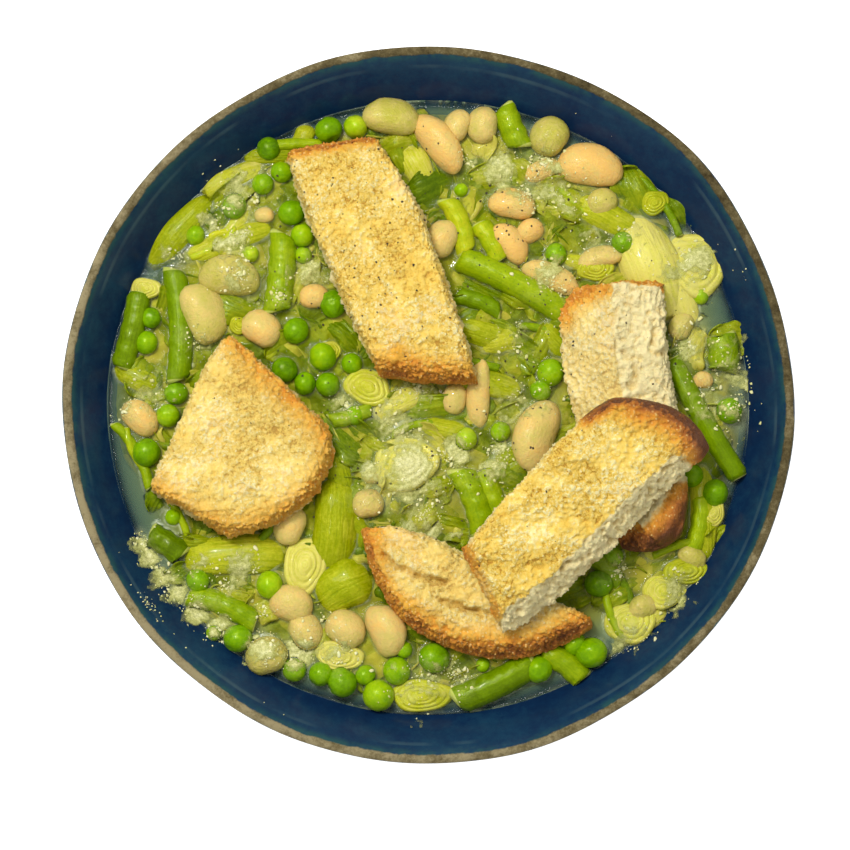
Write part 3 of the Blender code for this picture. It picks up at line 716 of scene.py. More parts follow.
def shelve(model):
    """Takes a model that copies were made from out of the scene."""
    bpy.data.objects.remove(model)


def thickened(model, thickness):
    """A closed copy of a sheet, given some thickness."""
    made = model.copy()
    made.data = model.data.copy()
    bpy.context.scene.collection.objects.link(made)
    apply_modifier(made, "SOLIDIFY", thickness=thickness, offset=0)
    return made


def placed(x_pixel, y_pixel, above, size, heading=0.0, tilt=(0.0, 0.0)):
    """The matrix that puts a model at a pixel, this far above the broth, at its size and heading."""
    turn = Matrix.Rotation(math.radians(heading), 4, "Z")
    lean = Matrix.Rotation(tilt[0], 4, "X") @ Matrix.Rotation(tilt[1], 4, "Y")
    place = Matrix.Translation(spot(x_pixel, y_pixel, BROTH_LEVEL + above))
    return place @ turn @ lean @ Matrix.Diagonal((*size, 1))


def sized(length, width, depth):
    """A length and a width in pixels, as metres, with a depth that is in metres already."""
    return length * PIXEL_AT_BROTH, width * PIXEL_AT_BROTH, depth


def rocked(chance, roll, pitch):
    """A random tilt of at most these angles either way."""
    return chance.uniform(-roll, roll), chance.uniform(-pitch, pitch)


def placed_between(ends, above, size, tilt):
    """The matrix that lays a model along the line between two pixels."""
    x0, y0, x1, y1 = ends
    heading = math.degrees(math.atan2(y0 - y1, x1 - x0))
    return placed((x0 + x1) / 2, (y0 + y1) / 2, above, size, heading, tilt)


def reshape(model, columns):
    """Moves the model's points to these x, y and z columns."""
    model.data.vertices.foreach_set("co", np.stack(columns, 1).astype(np.float32).ravel())


def vegetable_skin(name, stops, spread=0.5, fibre=0.3, relief=0.4, haze=0.9, rings=False, cut_colour=None):
    """A wet cooked skin: a colour from the stops for each copy's tone, with mottling, fibres and cheese."""
    made, at = new_finish(name)
    tone, along, across = (at.attribute(key) for key in ("tone", "along", "across"))
    if rings:
        radius = (along * along + across * across) ** 0.5
        strands = at.node("CombineXYZ", {}, {0: radius * 26.0, 1: across * 1.5, 2: tone * 37.0})
    else:
        strands = at.node("CombineXYZ", {}, {0: along * 2.5, 1: across * 18.0, 2: tone * 37.0})
    fibres = strands.noise(1.0, 4, 0.6)
    mottle = at.noise(190, 4, 0.6)
    fine = at.noise(1100, 3, 0.7)
    shade = (tone + (mottle - 0.5) * spread + (fibres - 0.5) * fibre + (fine - 0.5) * 0.45).ramp(*stops)
    if cut_colour:
        cut = (along * along * 4).rise(0.955, 0.985)
        shade = cut.blend(shade, at.noise(600, 3, 0.7).blend(cut_colour, (206, 210, 118)))
    cloud = melted_cheese(at) * haze
    coat_with(made, {
        "Base Color": cloud.blend(shade, (206, 204, 128)),
        "Roughness": 0.22 + cloud * 0.35,
        "Specular IOR Level": 0.3,
        "Specular Tint": GREEN_SHINE,
        "Coat Weight": 0.14,
        "Coat Roughness": 0.04,
        "Subsurface Weight": 0.25,
        "Subsurface Radius": (0.0016, 0.0020, 0.0004),
        "Subsurface Scale": 0.6,
        "Normal": (fibres * fibre * 1.6 + mottle * 0.5 + fine * 0.5 + cloud).bump(relief, 0.0007),
    })
    return made


# Peas
# Green peas cooked whole, eight millimetres across, some with a loosened, dimpled skin.
PEAS = (
    (328, 132, 28, 0.3), (355, 129, 25, 0.75), (268, 151, 25, 0.2), (281, 175, 22, 0.5), (262, 187, 23, 0.45),
    (234, 210, 26, 0.35), (291, 216, 27, 0.35), (302, 239, 25, 0.6), (151, 322, 22, 0.3), (147, 347, 24, 0.4),
    (177, 398, 24, 0.3), (169, 420, 25, 0.55), (333, 308, 28, 0.3), (296, 335, 27, 0.35), (323, 361, 29, 0.5),
    (285, 374, 27, 0.2), (305, 388, 23, 0.3), (352, 368, 22, 0.4), (328, 389, 26, 0.3), (195, 239, 20, 0.5),
    (461, 193, 15, 0.6), (556, 258, 23, 0.4), (623, 247, 25, 0.3), (550, 377, 29, 0.45), (728, 415, 27, 0.3),
    (148, 457, 30, 0.35), (175, 521, 17, 0.5), (200, 584, 24, 0.35), (271, 588, 28, 0.6), (240, 641, 29, 0.3),
    (296, 672, 24, 0.4), (322, 676, 25, 0.3), (343, 684, 31, 0.25), (366, 677, 21, 0.45), (397, 673, 29, 0.4),
    (379, 697, 33, 0.55), (434, 660, 32, 0.3), (589, 655, 32, 0.4), (537, 671, 29, 0.4), (597, 587, 29, 0.2),
    (713, 497, 28, 0.3), (466, 443, 23, 0.7), (500, 436, 21, 0.5), (482, 667, 15, 0.5), (573, 646, 24, 0.4),
    (690, 480, 24, 0.3), (540, 395, 22, 0.4), (355, 420, 20, 0.4), (250, 258, 18, 0.8), (404, 652, 18, 0.4),
    (303, 259, 18, 0.6), (520, 676, 20, 0.5), (700, 300, 18, 0.6), (612, 560, 20, 0.4), (216, 636, 16, 0.5),
)
pea = begun(bpy.ops.mesh.primitive_uv_sphere_add, segments=26, ring_count=18, radius=0.5)
round_pea = points_of(pea).copy()
chance = random.Random(5)
peas = Crop("peas")
for x, y, size, tone in PEAS:
    seed = chance.uniform(0, 50)
    dents, puckers = noise_at(round_pea, 3.4, seed), noise_at(round_pea, 11, seed)
    uneven = 1 + 0.03 * dents - 0.25 * np.clip(dents - 0.20, 0, 1) + 0.012 * puckers
    reshape(pea, [round_pea[:, i] * uneven for i in range(3)])
    across = size * PIXEL_AT_BROTH
    scale = (across * chance.uniform(0.96, 1.04), across * chance.uniform(0.93, 1.0), across * 0.94)
    spin = rocked(chance, 2, 2)
    peas.lay(pea, placed(x, y, 0.0005 + across * 0.14, scale, chance.uniform(0, 360), spin), tone)
shelve(pea)
heap.append(peas.gather(vegetable_skin("pea_skin", (
    (0.05, (76, 116, 0)), (0.35, (114, 160, 0)), (0.65, (150, 184, 4)), (0.95, (190, 202, 40)),
), spread=0.8, fibre=0.0, relief=0.4, haze=0.7)))

# White beans
# Cannellini beans up to nineteen millimetres long, with a taut skin: some cream or rosy, some pale green.
WHITE_BEANS = (
    (438, 146, 71, 36, -50, 0.80), (456, 128, 36, 28, 62, 0.55), (482, 127, 38, 32, 82, 0.50),
    (590, 170, 68, 44, -8, 0.85), (543, 173, 38, 22, 20, 0.70), (512, 208, 48, 33, -12, 0.75),
    (530, 234, 28, 25, 30, 0.80), (510, 247, 47, 29, -52, 0.85), (551, 282, 62, 27, -25, 0.70),
    (441, 242, 40, 33, 65, 0.60), (537, 440, 75, 44, 70, 0.60), (479, 398, 68, 26, 86, 0.60),
    (454, 403, 32, 25, 80, 0.55), (314, 300, 30, 25, 5, 0.80), (262, 332, 42, 36, -35, 0.65),
    (203, 318, 64, 46, -66, 0.35), (142, 422, 42, 31, -45, 0.75), (229, 282, 62, 42, -5, 0.30),
    (264, 218, 20, 17, 0, 0.60), (290, 529, 40, 33, 70, 0.55), (293, 606, 44, 38, -20, 0.55),
    (308, 633, 38, 34, -60, 0.50), (347, 631, 42, 37, -40, 0.50), (385, 633, 54, 39, -64, 0.60),
    (368, 507, 32, 30, 10, 0.50), (268, 657, 42, 38, 20, 0.30), (391, 120, 58, 41, -8, 0.25),
    (549, 138, 42, 39, 55, 0.20), (702, 384, 20, 18, 0, 0.80), (602, 205, 32, 28, 20, 0.30),
    (372, 481, 17, 14, 0, 0.55), (680, 330, 30, 24, 60, 0.35), (640, 610, 30, 26, 20, 0.30),
    (600, 262, 46, 24, 10, 0.55), (690, 560, 30, 22, -30, 0.25),
)
bean = begun(bpy.ops.mesh.primitive_uv_sphere_add, segments=28, ring_count=20, radius=0.5)
edit_all()
bpy.ops.transform.rotate(value=math.pi / 2, orient_axis="Y", center_override=(0, 0, 0))
bpy.ops.object.mode_set(mode="OBJECT")
round_bean = points_of(bean).copy()
chance = random.Random(8)
white_beans = Crop("white_beans")
for x, y, length, width, heading, tone in WHITE_BEANS:
    seed = chance.uniform(0, 50)
    along = 2 * round_bean[:, 0]
    plump = 0.5 * np.copysign(np.abs(along) ** 0.88, along)
    wrinkles, puckers = noise_at(round_bean, 3.5, seed, 3), noise_at(round_bean, 12, seed, 3)
    uneven = 1 + 0.055 * wrinkles - 0.16 * np.clip(wrinkles - 0.30, 0, 1) + 0.014 * puckers
    bend = (0.11 if length > 45 else 0.03) * (1 - along * along)
    waist = 1 - 0.06 * np.exp(-((along / 0.35) ** 2)) * (round_bean[:, 1] < 0)
    sideways = round_bean[:, 1] * waist * uneven + bend - 0.05
    reshape(bean, [plump * uneven, sideways, round_bean[:, 2] * uneven])
    size = sized(length, width, min(width * 0.8, 31) * PIXEL_AT_BROTH)
    tilt = rocked(chance, 0.5, 0.10)
    white_beans.lay(bean, placed(x, y, 0.0006 + size[2] * 0.12, size, heading, tilt), tone)
shelve(bean)
heap.append(white_beans.gather(vegetable_skin("bean_skin", (
    (0.10, (182, 174, 70)), (0.35, (200, 184, 98)), (0.60, (216, 188, 110)), (0.90, (230, 184, 102)),
), spread=1.1, fibre=0.06, relief=1.0, haze=0.9)))

# Green beans
# Fine green beans topped, tailed and cut in lengths: a tube swollen over its seeds, with a moist cut face.
GREEN_BEANS = (
    (139, 296, 121, 372, 24, 3, 0.25), (175, 274, 180, 385, 25, 4, 0.3), (283, 237, 276, 317, 28, 2, 0.5),
    (458, 263, 566, 320, 27, 5, 0.55), (448, 203, 467, 256, 22, 4, 0.8), (503, 109, 520, 150, 26, 0, 0.5),
    (722, 338, 724, 376, 32, 0, 0.4), (152, 538, 184, 560, 25, 2, 0.12), (191, 598, 258, 626, 23, 5, 0.45),
    (457, 704, 532, 668, 30, 0, 0.25),
    (541, 651, 582, 681, 25, 2, 0.5), (461, 474, 484, 534, 28, 3, 0.5), (484, 474, 503, 520, 22, -3, 0.6),
    (672, 362, 738, 482, 22, -4, 0.3), (481, 226, 502, 264, 22, 0, 0.7), (300, 500, 318, 470, 16, 2, 0.5),
    (590, 560, 618, 588, 18, 2, 0.4), (455, 300, 500, 316, 18, 3, 0.3), (330, 425, 372, 412, 16, -3, 0.5),
    (262, 150, 322, 146, 12, 2, 0.6), (700, 500, 690, 556, 20, 3, 0.6), (236, 432, 214, 446, 12, 0, 0.5),
)
STEMS = (
    (116, 428, 152, 492, 11, 6, 0.5), (128, 432, 144, 470, 8, -4, 0.7), (608, 570, 630, 612, 10, 5, 0.2),
    (604, 596, 622, 640, 9, -5, 0.6), (520, 330, 575, 352, 9, 6, 0.4), (236, 232, 190, 262, 9, 4, 0.8),
    (392, 440, 440, 428, 8, 5, 0.5), (560, 190, 610, 226, 9, -6, 0.6), (650, 560, 700, 545, 9, 4, 0.6),
    (478, 560, 520, 540, 8, 4, 0.4), (250, 556, 292, 500, 9, -3, 0.3), (440, 350, 500, 372, 9, -5, 0.4),
    (640, 180, 680, 240, 8, 5, 0.3), (208, 240, 262, 236, 7, 4, 0.9), (146, 480, 190, 540, 8, 6, 0.6),
)
pod = begun(
    bpy.ops.mesh.primitive_circle_add,
    vertices=18, radius=0.5, fill_type="NGON", rotation=(0, math.pi / 2, 0),
)
bpy.ops.object.transform_apply(location=True, rotation=True, scale=True)
edit_all()
bpy.ops.transform.translate(value=(-0.5, 0, 0))
bpy.ops.mesh.inset(thickness=0.10, depth=0)
bpy.ops.transform.translate(value=(0.006, 0, 0))
bpy.ops.mesh.select_all(action="DESELECT")
bpy.ops.mesh.select_mode(type="EDGE")
bpy.ops.mesh.select_non_manifold()
POD_STEPS = 22
POD_END = 0.44
for _ in range(POD_STEPS):
    bpy.ops.mesh.extrude_region_move(TRANSFORM_OT_translate={"value": (1 / POD_STEPS, 0, 0)})
bpy.ops.mesh.edge_face_add()
bpy.ops.mesh.inset(thickness=0.10, depth=0)
bpy.ops.transform.translate(value=(-0.006, 0, 0))
bpy.ops.mesh.select_all(action="SELECT")
bpy.ops.mesh.normals_make_consistent(inside=False)
bpy.ops.object.mode_set(mode="OBJECT")
straight = points_of(pod).copy()
from_middle = np.abs(straight[:, 0])
chance = random.Random(13)
pods = Crop("green_beans")
for x0, y0, x1, y1, width, bow, tone in GREEN_BEANS + STEMS:
    length = math.hypot(x1 - x0, y1 - y0)
    swell = 1 + 0.055 * np.sin(straight[:, 0] * max(2.0, length / 15) * 2 * math.pi + chance.uniform(0, 6))
    ends = 1 - 0.16 * np.clip((from_middle - POD_END) / 0.06, 0, 1) ** 2
    slant = chance.uniform(-0.5, 0.5) * width / length * np.sign(straight[:, 0]) * (from_middle > POD_END)
    reshape(pod, [
        straight[:, 0] + slant * straight[:, 1], straight[:, 1] * swell * ends,
        straight[:, 2] * (2 - swell) * ends * 0.92,
    ])
    size = sized(length, width, width * PIXEL_AT_BROTH)
    above = 0.0004 + size[2] * (0.12 if width > 14 else 0.35)
    tilt = rocked(chance, 0.6, 0.03)
    matrix = placed_between((x0, y0, x1, y1), above, size, tilt)
    pods.lay(pod, matrix, tone, bow=bow / width, droop=0.12)
shelve(pod)
heap.append(pods.gather(vegetable_skin("green_bean_skin", (
    (0.05, (82, 106, 0)), (0.35, (112, 142, 0)), (0.65, (152, 172, 8)), (0.95, (194, 192, 30)),
), spread=0.5, fibre=0.35, relief=0.45, haze=0.8, cut_colour=(164, 178, 60))))

# Leeks
# Leek, cabbage heart and celery. A length is a roll of thin layers that taper to both ends, ribbed along its
# fibres, and a cut round shows the layers as faint rings.
LEEK_LENGTHS = (
    (188, 562, 286, 556, 40, 0.50), (338, 484, 332, 572, 44, 0.38), (320, 604, 370, 577, 46, 0.40),
    (153, 268, 208, 203, 29, 0.35), (186, 262, 270, 230, 25, 0.50), (697, 470, 700, 562, 27, 0.45),
    (630, 224, 668, 322, 56, 0.95), (300, 150, 308, 128, 20, 0.5), (350, 586, 330, 615, 26, 0.6),
    (430, 372, 520, 396, 30, 0.4), (500, 480, 540, 462, 22, 0.25), (575, 205, 640, 240, 30, 0.5),
    (210, 246, 250, 262, 20, 0.8), (448, 330, 520, 352, 26, 0.4), (600, 270, 560, 262, 18, 0.6),
    (375, 420, 420, 396, 26, 0.85), (330, 455, 345, 500, 26, 0.25), (492, 466, 530, 458, 22, 0.3),
    (250, 205, 222, 250, 18, 0.7), (160, 392, 118, 372, 24, 0.4), (620, 640, 660, 610, 26, 0.8),
    (405, 150, 425, 190, 30, 0.75), (205, 196, 262, 168, 22, 0.65), (650, 250, 690, 330, 34, 0.98),
    (480, 352, 520, 342, 24, 0.55), (372, 540, 330, 500, 20, 0.35), (570, 360, 540, 330, 24, 0.4),
    (672, 545, 640, 560, 20, 0.7), (246, 160, 300, 158, 18, 0.3), (420, 430, 470, 440, 22, 0.5),
)
LEEK_ROUNDS = (
    (306, 569, 60, 42, 80, 0.90), (340, 658, 50, 28, -10, 0.95), (368, 392, 48, 36, -20, 0.75),
    (422, 697, 62, 32, 0, 0.65), (628, 625, 52, 42, 15, 0.80), (146, 293, 32, 22, 0, 0.85),
    (683, 574, 46, 28, 8, 0.5), (712, 518, 28, 20, 70, 0.85), (329, 357, 26, 22, 40, 0.7),
    (596, 273, 38, 24, 10, 0.6), (240, 330, 22, 18, 0, 0.6), (655, 206, 30, 24, 20, 0.5),
    (694, 268, 70, 58, -60, 0.90), (405, 468, 66, 56, 20, 0.90), (660, 595, 40, 34, 0, 0.8),
)
sheet = begun(bpy.ops.mesh.primitive_grid_add, x_subdivisions=22, y_subdivisions=16, size=1)
u, side = points_of(sheet)[:, 0].copy(), points_of(sheet)[:, 1].copy()
taper = 1 - 0.55 * np.abs(2 * u) ** 3.5
layers = Crop("leek_lengths")
chance = random.Random(21)
for x0, y0, x1, y1, width, tone in LEEK_LENGTHS:
    length = math.hypot(x1 - x0, y1 - y0)
    for layer in range(2):
        v = side * (1 - 0.10 * layer) + 0.05 * layer
        arc = v * math.pi * 0.98
        fat = (1 - 0.2 * layer) / 2 * taper
        ripple = 1 + 0.035 * np.sin(v * 40 + layer) + 0.05 * np.sin(u * 9 + layer * 2 + x0)
        fat = fat * ripple
        reshape(sheet, [u * (1 + 0.06 * layer), np.sin(arc) * fat, np.cos(arc) * fat * 0.78])
        thick = thickened(sheet, 0.05)
        size = sized(length, width, width * PIXEL_AT_BROTH * 0.75)
        tilt = rocked(chance, 0.2, 0.03)
        matrix = placed_between((x0, y0, x1, y1), 0.0003, size, tilt)
        layers.lay(thick, matrix, tone + 0.1 * layer, bow=0.05, droop=0.12)
        shelve(thick)
shelve(sheet)
LEEK_STOPS = ((0.05, (104, 122, 0)), (0.35, (146, 156, 0)), (0.65, (188, 188, 40)), (0.95, (214, 204, 100)))
heap.append(layers.gather(vegetable_skin("leek_layers", LEEK_STOPS, spread=0.45, fibre=0.55, relief=0.6)))

disc = begun(bpy.ops.mesh.primitive_circle_add, vertices=36, radius=0.5, fill_type="NGON")
edit_all()
bpy.ops.mesh.extrude_region_move(TRANSFORM_OT_translate={"value": (0, 0, 0.42)})
for margin, rise in (
    (0.035, 0.035), (0.05, 0.015), (0.02, -0.035), (0.012, 0.0), (0.02, 0.04), (0.06, 0.0), (0.02, -0.035),
    (0.012, 0.0), (0.02, 0.04), (0.06, 0.01), (0.02, -0.03), (0.02, 0.03), (0.05, 0.01),
):
    bpy.ops.mesh.inset(thickness=margin, depth=rise)
bpy.ops.mesh.poke()
bpy.ops.mesh.select_all(action="SELECT")
bpy.ops.transform.translate(value=(0, 0, -0.25))
bpy.ops.object.mode_set(mode="OBJECT")
flat_disc = points_of(disc).copy()
around = np.arctan2(flat_disc[:, 1], flat_disc[:, 0])
reach = np.hypot(flat_disc[:, 0], flat_disc[:, 1])
rounds = Crop("leek_rounds")
for x, y, length, width, heading, tone in LEEK_ROUNDS:
    uneven = 1 + 0.05 * np.sin(around * 3 + x) + 0.03 * np.sin(around * 5 + y)
    lift = flat_disc[:, 2] + 0.12 * np.sin(around * 2 + y) * reach - 0.5 * reach**2 * (flat_disc[:, 2] > 0)
    reshape(disc, [flat_disc[:, 0] * uneven, flat_disc[:, 1] * uneven, lift])
    size = sized(length, width, 0.0095)
    tilt = rocked(chance, 0.12, 0.12)
    rounds.lay(disc, placed(x, y, 0.0012, size, heading, tilt), tone)
shelve(disc)
ringed = vegetable_skin("leek_rings", LEEK_STOPS, spread=0.4, fibre=0.7, relief=0.5, rings=True)
heap.append(rounds.gather(ringed))

# Leaves
# Cabbage, chard and leek tops, wilted into soft translucent folds that lie over and between the other pieces.
LEAVES = (
    (640, 198, 66, 50, -60, 0.45), (580, 204, 80, 48, -20, 0.60), (430, 194, 70, 50, 30, 0.20),
    (238, 190, 90, 30, 42, 0.60), (430, 414, 88, 50, 10, 0.40), (143, 380, 46, 54, 60, 0.45),
    (508, 470, 66, 46, -30, 0.35), (352, 440, 70, 48, -40, 0.30), (505, 352, 80, 50, -25, 0.40),
    (462, 325, 64, 48, 40, 0.30), (618, 592, 62, 36, 30, 0.50), (678, 213, 42, 28, -50, 0.25),
    (556, 196, 56, 44, 10, 0.70), (545, 350, 60, 40, 60, 0.55), (238, 306, 70, 44, -20, 0.45),
    (205, 390, 40, 36, 20, 0.45), (170, 300, 44, 36, 80, 0.45), (268, 612, 44, 40, 30, 0.75),
    (235, 600, 48, 32, -20, 0.70), (322, 640, 42, 30, 60, 0.70), (470, 680, 46, 26, 20, 0.70),
    (660, 596, 56, 44, 30, 0.75), (702, 440, 46, 34, 80, 0.50), (730, 340, 44, 40, 0, 0.55),
    (708, 420, 40, 38, 10, 0.75), (690, 356, 50, 40, 80, 0.90), (398, 150, 46, 40, 20, 0.65),
    (412, 160, 60, 34, -60, 0.50), (350, 500, 40, 46, 60, 0.40), (570, 592, 50, 36, 20, 0.45),
    (340, 340, 50, 30, -40, 0.35), (372, 342, 46, 26, 60, 0.25), (285, 350, 46, 30, 30, 0.55),
    (520, 300, 54, 30, -30, 0.45), (490, 180, 50, 34, 10, 0.65), (520, 170, 44, 30, -40, 0.70),
    (178, 574, 30, 22, 30, 0.40), (190, 548, 30, 22, 0, 0.55), (160, 500, 36, 24, 60, 0.35),
    (450, 530, 50, 30, -10, 0.55), (420, 516, 46, 36, 40, 0.75), (380, 452, 44, 30, -20, 0.70),
    (448, 590, 40, 26, 0, 0.50), (690, 505, 34, 44, 60, 0.40), (560, 330, 40, 30, 0, 0.45),
    (395, 490, 60, 40, 80, 0.90), (424, 450, 60, 40, -30, 0.85), (440, 490, 50, 34, 20, 0.60),
    (300, 285, 60, 34, 60, 0.80), (330, 250, 40, 30, 80, 0.80), (240, 245, 60, 30, 20, 0.55),
    (620, 290, 60, 40, 30, 0.80), (575, 300, 40, 30, 60, 0.60), (480, 290, 56, 30, -25, 0.35),
    (300, 440, 50, 36, 20, 0.45), (356, 540, 40, 36, 80, 0.50), (200, 545, 50, 26, 0, 0.50),
    (655, 640, 40, 28, 40, 0.60), (715, 545, 36, 26, 60, 0.50), (222, 616, 46, 26, -30, 0.80),
)
leaf = begun(bpy.ops.mesh.primitive_grid_add, x_subdivisions=24, y_subdivisions=18, size=1)
scrap = begun(bpy.ops.mesh.primitive_grid_add, x_subdivisions=11, y_subdivisions=4, size=1)


def wilt(model, flat, chance, ruffle):
    """Shapes a leaf: a soft oval, folded along its rib, one edge curled over, and waved towards its edges."""
    u, v = 2 * flat[:, 0], 2 * flat[:, 1]
    phases = [chance.uniform(0, 6.28) for _ in range(5)]
    width = np.sqrt(np.clip(1 - np.abs(u) ** 2.6, 0.03, 1)) * (1 + 0.09 * np.sin(4 * u + phases[0]))
    curl = np.clip(v - 0.45, 0, 1) ** 2
    lift = ruffle * v * v * (np.sin(4.5 * u + phases[2] + v) + 0.4 * np.sin(9 * u + phases[3] - v))
    lift += 0.10 * np.cos(3.0 * v + phases[4]) * np.cos(2.2 * u) - 0.16 * u * u - 0.10 * v * v + 0.5 * curl
    lift += 0.022 * np.sin(20 * v * width + 2 * u + phases[1])
    reshape(model, [u / 2, v * width / 2 - 0.35 * curl, lift])


leaves = Crop("wilted_leaves")
flat_leaf, flat_scrap = points_of(leaf).copy(), points_of(scrap).copy()
chance = random.Random(34)
for x, y, length, width, heading, tone in LEAVES:
    wilt(leaf, flat_leaf, chance, 0.13)
    thick = thickened(leaf, 0.030)
    size = sized(length, width, 0.0105)
    tilt = rocked(chance, 0.12, 0.10)
    leaves.lay(thick, placed(x, y, 0.0013, size, heading, tilt), tone, bow=chance.uniform(-0.15, 0.15))
    shelve(thick)

wilted_leaf = vegetable_skin("wilted_leaf", (
    (0.05, (62, 88, 0)), (0.32, (100, 122, 0)), (0.62, (142, 150, 10)), (0.95, (192, 182, 74)),
), spread=0.6, fibre=0.5, relief=0.55)
heap.append(leaves.gather(wilted_leaf))

# Narrow shreds and scraps of the same leaves fill the spaces between.
shreds = Crop("leaf_shreds")
for _ in range(420):
    turn, share = chance.uniform(0, 2 * math.pi), math.sqrt(chance.uniform(0.0, 1.0))
    distance = (bed_reach(turn) - 0.004) * share / PIXEL_AT_BROTH
    x, y = AXIS_PIXEL[0] + distance * math.cos(turn), AXIS_PIXEL[1] - distance * math.sin(turn)
    narrow = chance.random() < 0.6
    if narrow:
        length, width = chance.uniform(26, 60), chance.uniform(7, 15)
    else:
        length = width = chance.uniform(20, 38)
    wilt(scrap, flat_scrap, chance, 0.10)
    size = sized(length, width, 0.0075)
    tilt = rocked(chance, 0.3, 0.12)
    thick = thickened(scrap, 0.04)
    tone = chance.uniform(0.15, 1.0)
    matrix = placed(x, y, 0.0004, size, chance.uniform(0, 360), tilt)
    shreds.lay(thick, matrix, tone, bow=chance.uniform(-0.4, 0.4))
    shelve(thick)
shelve(leaf)
shelve(scrap)
heap.append(shreds.gather(wilted_leaf))

# The broth
# A thin milky vegetable broth, poured round the vegetables. It is clear where it is shallow over the glaze
# and murky where it is deep, swells towards the middle, and climbs a fraction up whatever stands in it.
SHORE_STEPS = 73
SHORE_WIDTH = 0.010
BROTH_SWELL = 0.0009
MENISCUS = 0.0004
MURK_DEPTH = 0.0024


def trees_of(pieces):
    """What a ray from above is tested against, for some finished pieces."""
    bpy.context.view_layer.update()
    depsgraph = bpy.context.evaluated_depsgraph_get()
    return [BVHTree.FromObject(piece, depsgraph) for piece in pieces]


liquid = points_of(frame["nodes"]["broth"])
liquid = liquid[liquid[:, 2] > BROTH_LEVEL - 0.0008]
shore_turns = np.linspace(-math.pi, math.pi, SHORE_STEPS)
shore = []
for turn in shore_turns:
    away = np.abs((np.arctan2(liquid[:, 1], liquid[:, 0]) - turn + math.pi) % (2 * math.pi) - math.pi)
    shore.append(np.hypot(liquid[:, 0], liquid[:, 1])[away < 0.08].max() * 1.004)

soup = begun(bpy.ops.mesh.primitive_grid_add, x_subdivisions=260, y_subdivisions=260, size=2)
soup.name = "milky_broth"
where = points_of(soup)
across = where[:, 0] * np.sqrt(1 - where[:, 1] ** 2 / 2)
upward = where[:, 1] * np.sqrt(1 - where[:, 0] ** 2 / 2)
reach = np.interp(np.arctan2(upward, across), shore_turns, shore)
from_wall = (1 - np.hypot(across, upward)) * reach
level = BROTH_LEVEL + BROTH_SWELL * soft_step(from_wall / SHORE_WIDTH)
level += MENISCUS * np.exp(-((from_wall / 0.0008) ** 2))
reshape(soup, [across * reach, upward * reach, level])
lying = ("bed_of_greens", "wilted_leaves", "leaf_shreds")
standing_trees = trees_of([piece for piece in heap if piece.name not in lying])
floor_trees = trees_of(heap + [bowl])
# The meniscus band, at the wall and round every standing piece, is stored for the material, which paints a
# glint along it.
murk, brim = [], []
for vertex, wall in zip(soup.data.vertices, from_wall):
    gaps = [tree.find_nearest(vertex.co, 0.002)[3] or 0.002 for tree in standing_trees]
    hits = [tree.ray_cast(vertex.co, Vector((0, 0, -1)))[3] or 0.03 for tree in floor_trees]
    climb = math.exp(-((min(gaps) / 0.0005) ** 2))
    murk.append(1 - math.exp(-min(hits) / MURK_DEPTH))
    brim.append(max(climb, 0.8 * math.exp(-((wall / 0.0006) ** 2))))
    vertex.co.z += MENISCUS * climb
close_below()
under = len(soup.data.vertices) - len(murk)
store(soup, "drift", drift_at(points_of(soup)))
store(soup, "murk", murk + [-1.0] * under)
store(soup, "brim", brim + [0.0] * under)

broth, at = new_finish("milky_broth")
murk, brim = at.attribute("murk"), at.attribute("brim")
cloud = at.attribute("drift") * at.noise(95, 5, 0.62, 1.2).rise(0.38, 0.62)
over_glaze = at.node("VectorMath", {"operation": "LENGTH"}, {0: at.stretched((1, SOUP_OVAL, 100))}, out=1)
over_glaze = over_glaze.rise(0.078, 0.090)
body = murk.rise(0.2, 0.9).blend((106, 116, 14), (140, 144, 54))
clear = murk.rise(0.2, 0.95).blend((58, 88, 92), (110, 136, 102))
colour = cloud.blend(over_glaze.blend(body, clear), (206, 212, 158))
# Along the meniscus the broth is painted paler and a little more opaque: a painted highlight where its curved
# edge catches the light.
coat_with(broth, {
    "Base Color": (brim * at.noise(300, 3).rise(0.35, 0.6) * 0.6).blend(colour, (212, 220, 170)),
    "Roughness": 0.05 + cloud * 0.2,
    "IOR": 1.34,
    "Alpha": (murk * (0.78 - over_glaze * 0.18) + cloud * 0.4 + brim * 0.25).clamp() * murk.rise(-0.6, -0.2),
    "Normal": (at.noise(160, 2) + cloud * 0.6).bump(0.25, 0.0004),
})
soup.data.materials.append(broth)
bpy.ops.object.shade_smooth()
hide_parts("broth")
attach(soup, "root")

# Cheese and pepper
# Hard cheese grated over the hot soup: crumbs that keep their shape, in drifts on top of the vegetables, some
# flung on the glaze. Ground black pepper lies over the middle, also on the toasts.
CHEESE_CRUMBS = 900
CHEESE_SPECKS = 5000
CRUMB_REACH = 0.0975
GLAZE_CRUMBS = (
    (158, 606, 9, 120), (186, 632, 8, 40), (128, 560, 14, 50), (225, 664, 12, 26), (735, 265, 14, 14),
    (748, 385, 12, 12), (98, 480, 14, 12), (560, 112, 26, 10), (205, 175, 10, 20), (752, 430, 10, 12),
    (115, 430, 12, 14), (310, 700, 20, 12),
)
PEPPER_GRAINS = 720
PEPPER_PATCHES = (
    (375, 235, 40, 55), (440, 460, 65, 45), (540, 330, 60, 60), (320, 300, 70, 90),
    (510, 230, 50, 35),
)
PEPPER_REACH = 0.088
ABOVE_ALL = 0.09
DOWN = Vector((0, 0, -1))


def tops_at(trees, x, y):
    """The heights at which a ray from above meets each piece."""
    hits = [tree.ray_cast(Vector((x, y, ABOVE_ALL)), DOWN)[0] for tree in trees]
    return [hit.z for hit in hits if hit]


def top_at(trees, x_pixel, y_pixel):
    """The highest point of the pieces that a pixel shows."""
    place = spot(x_pixel, y_pixel, BROTH_LEVEL + 0.003)
    return Vector((place.x, place.y, max([BROTH_LEVEL] + tops_at(trees, place.x, place.y))))


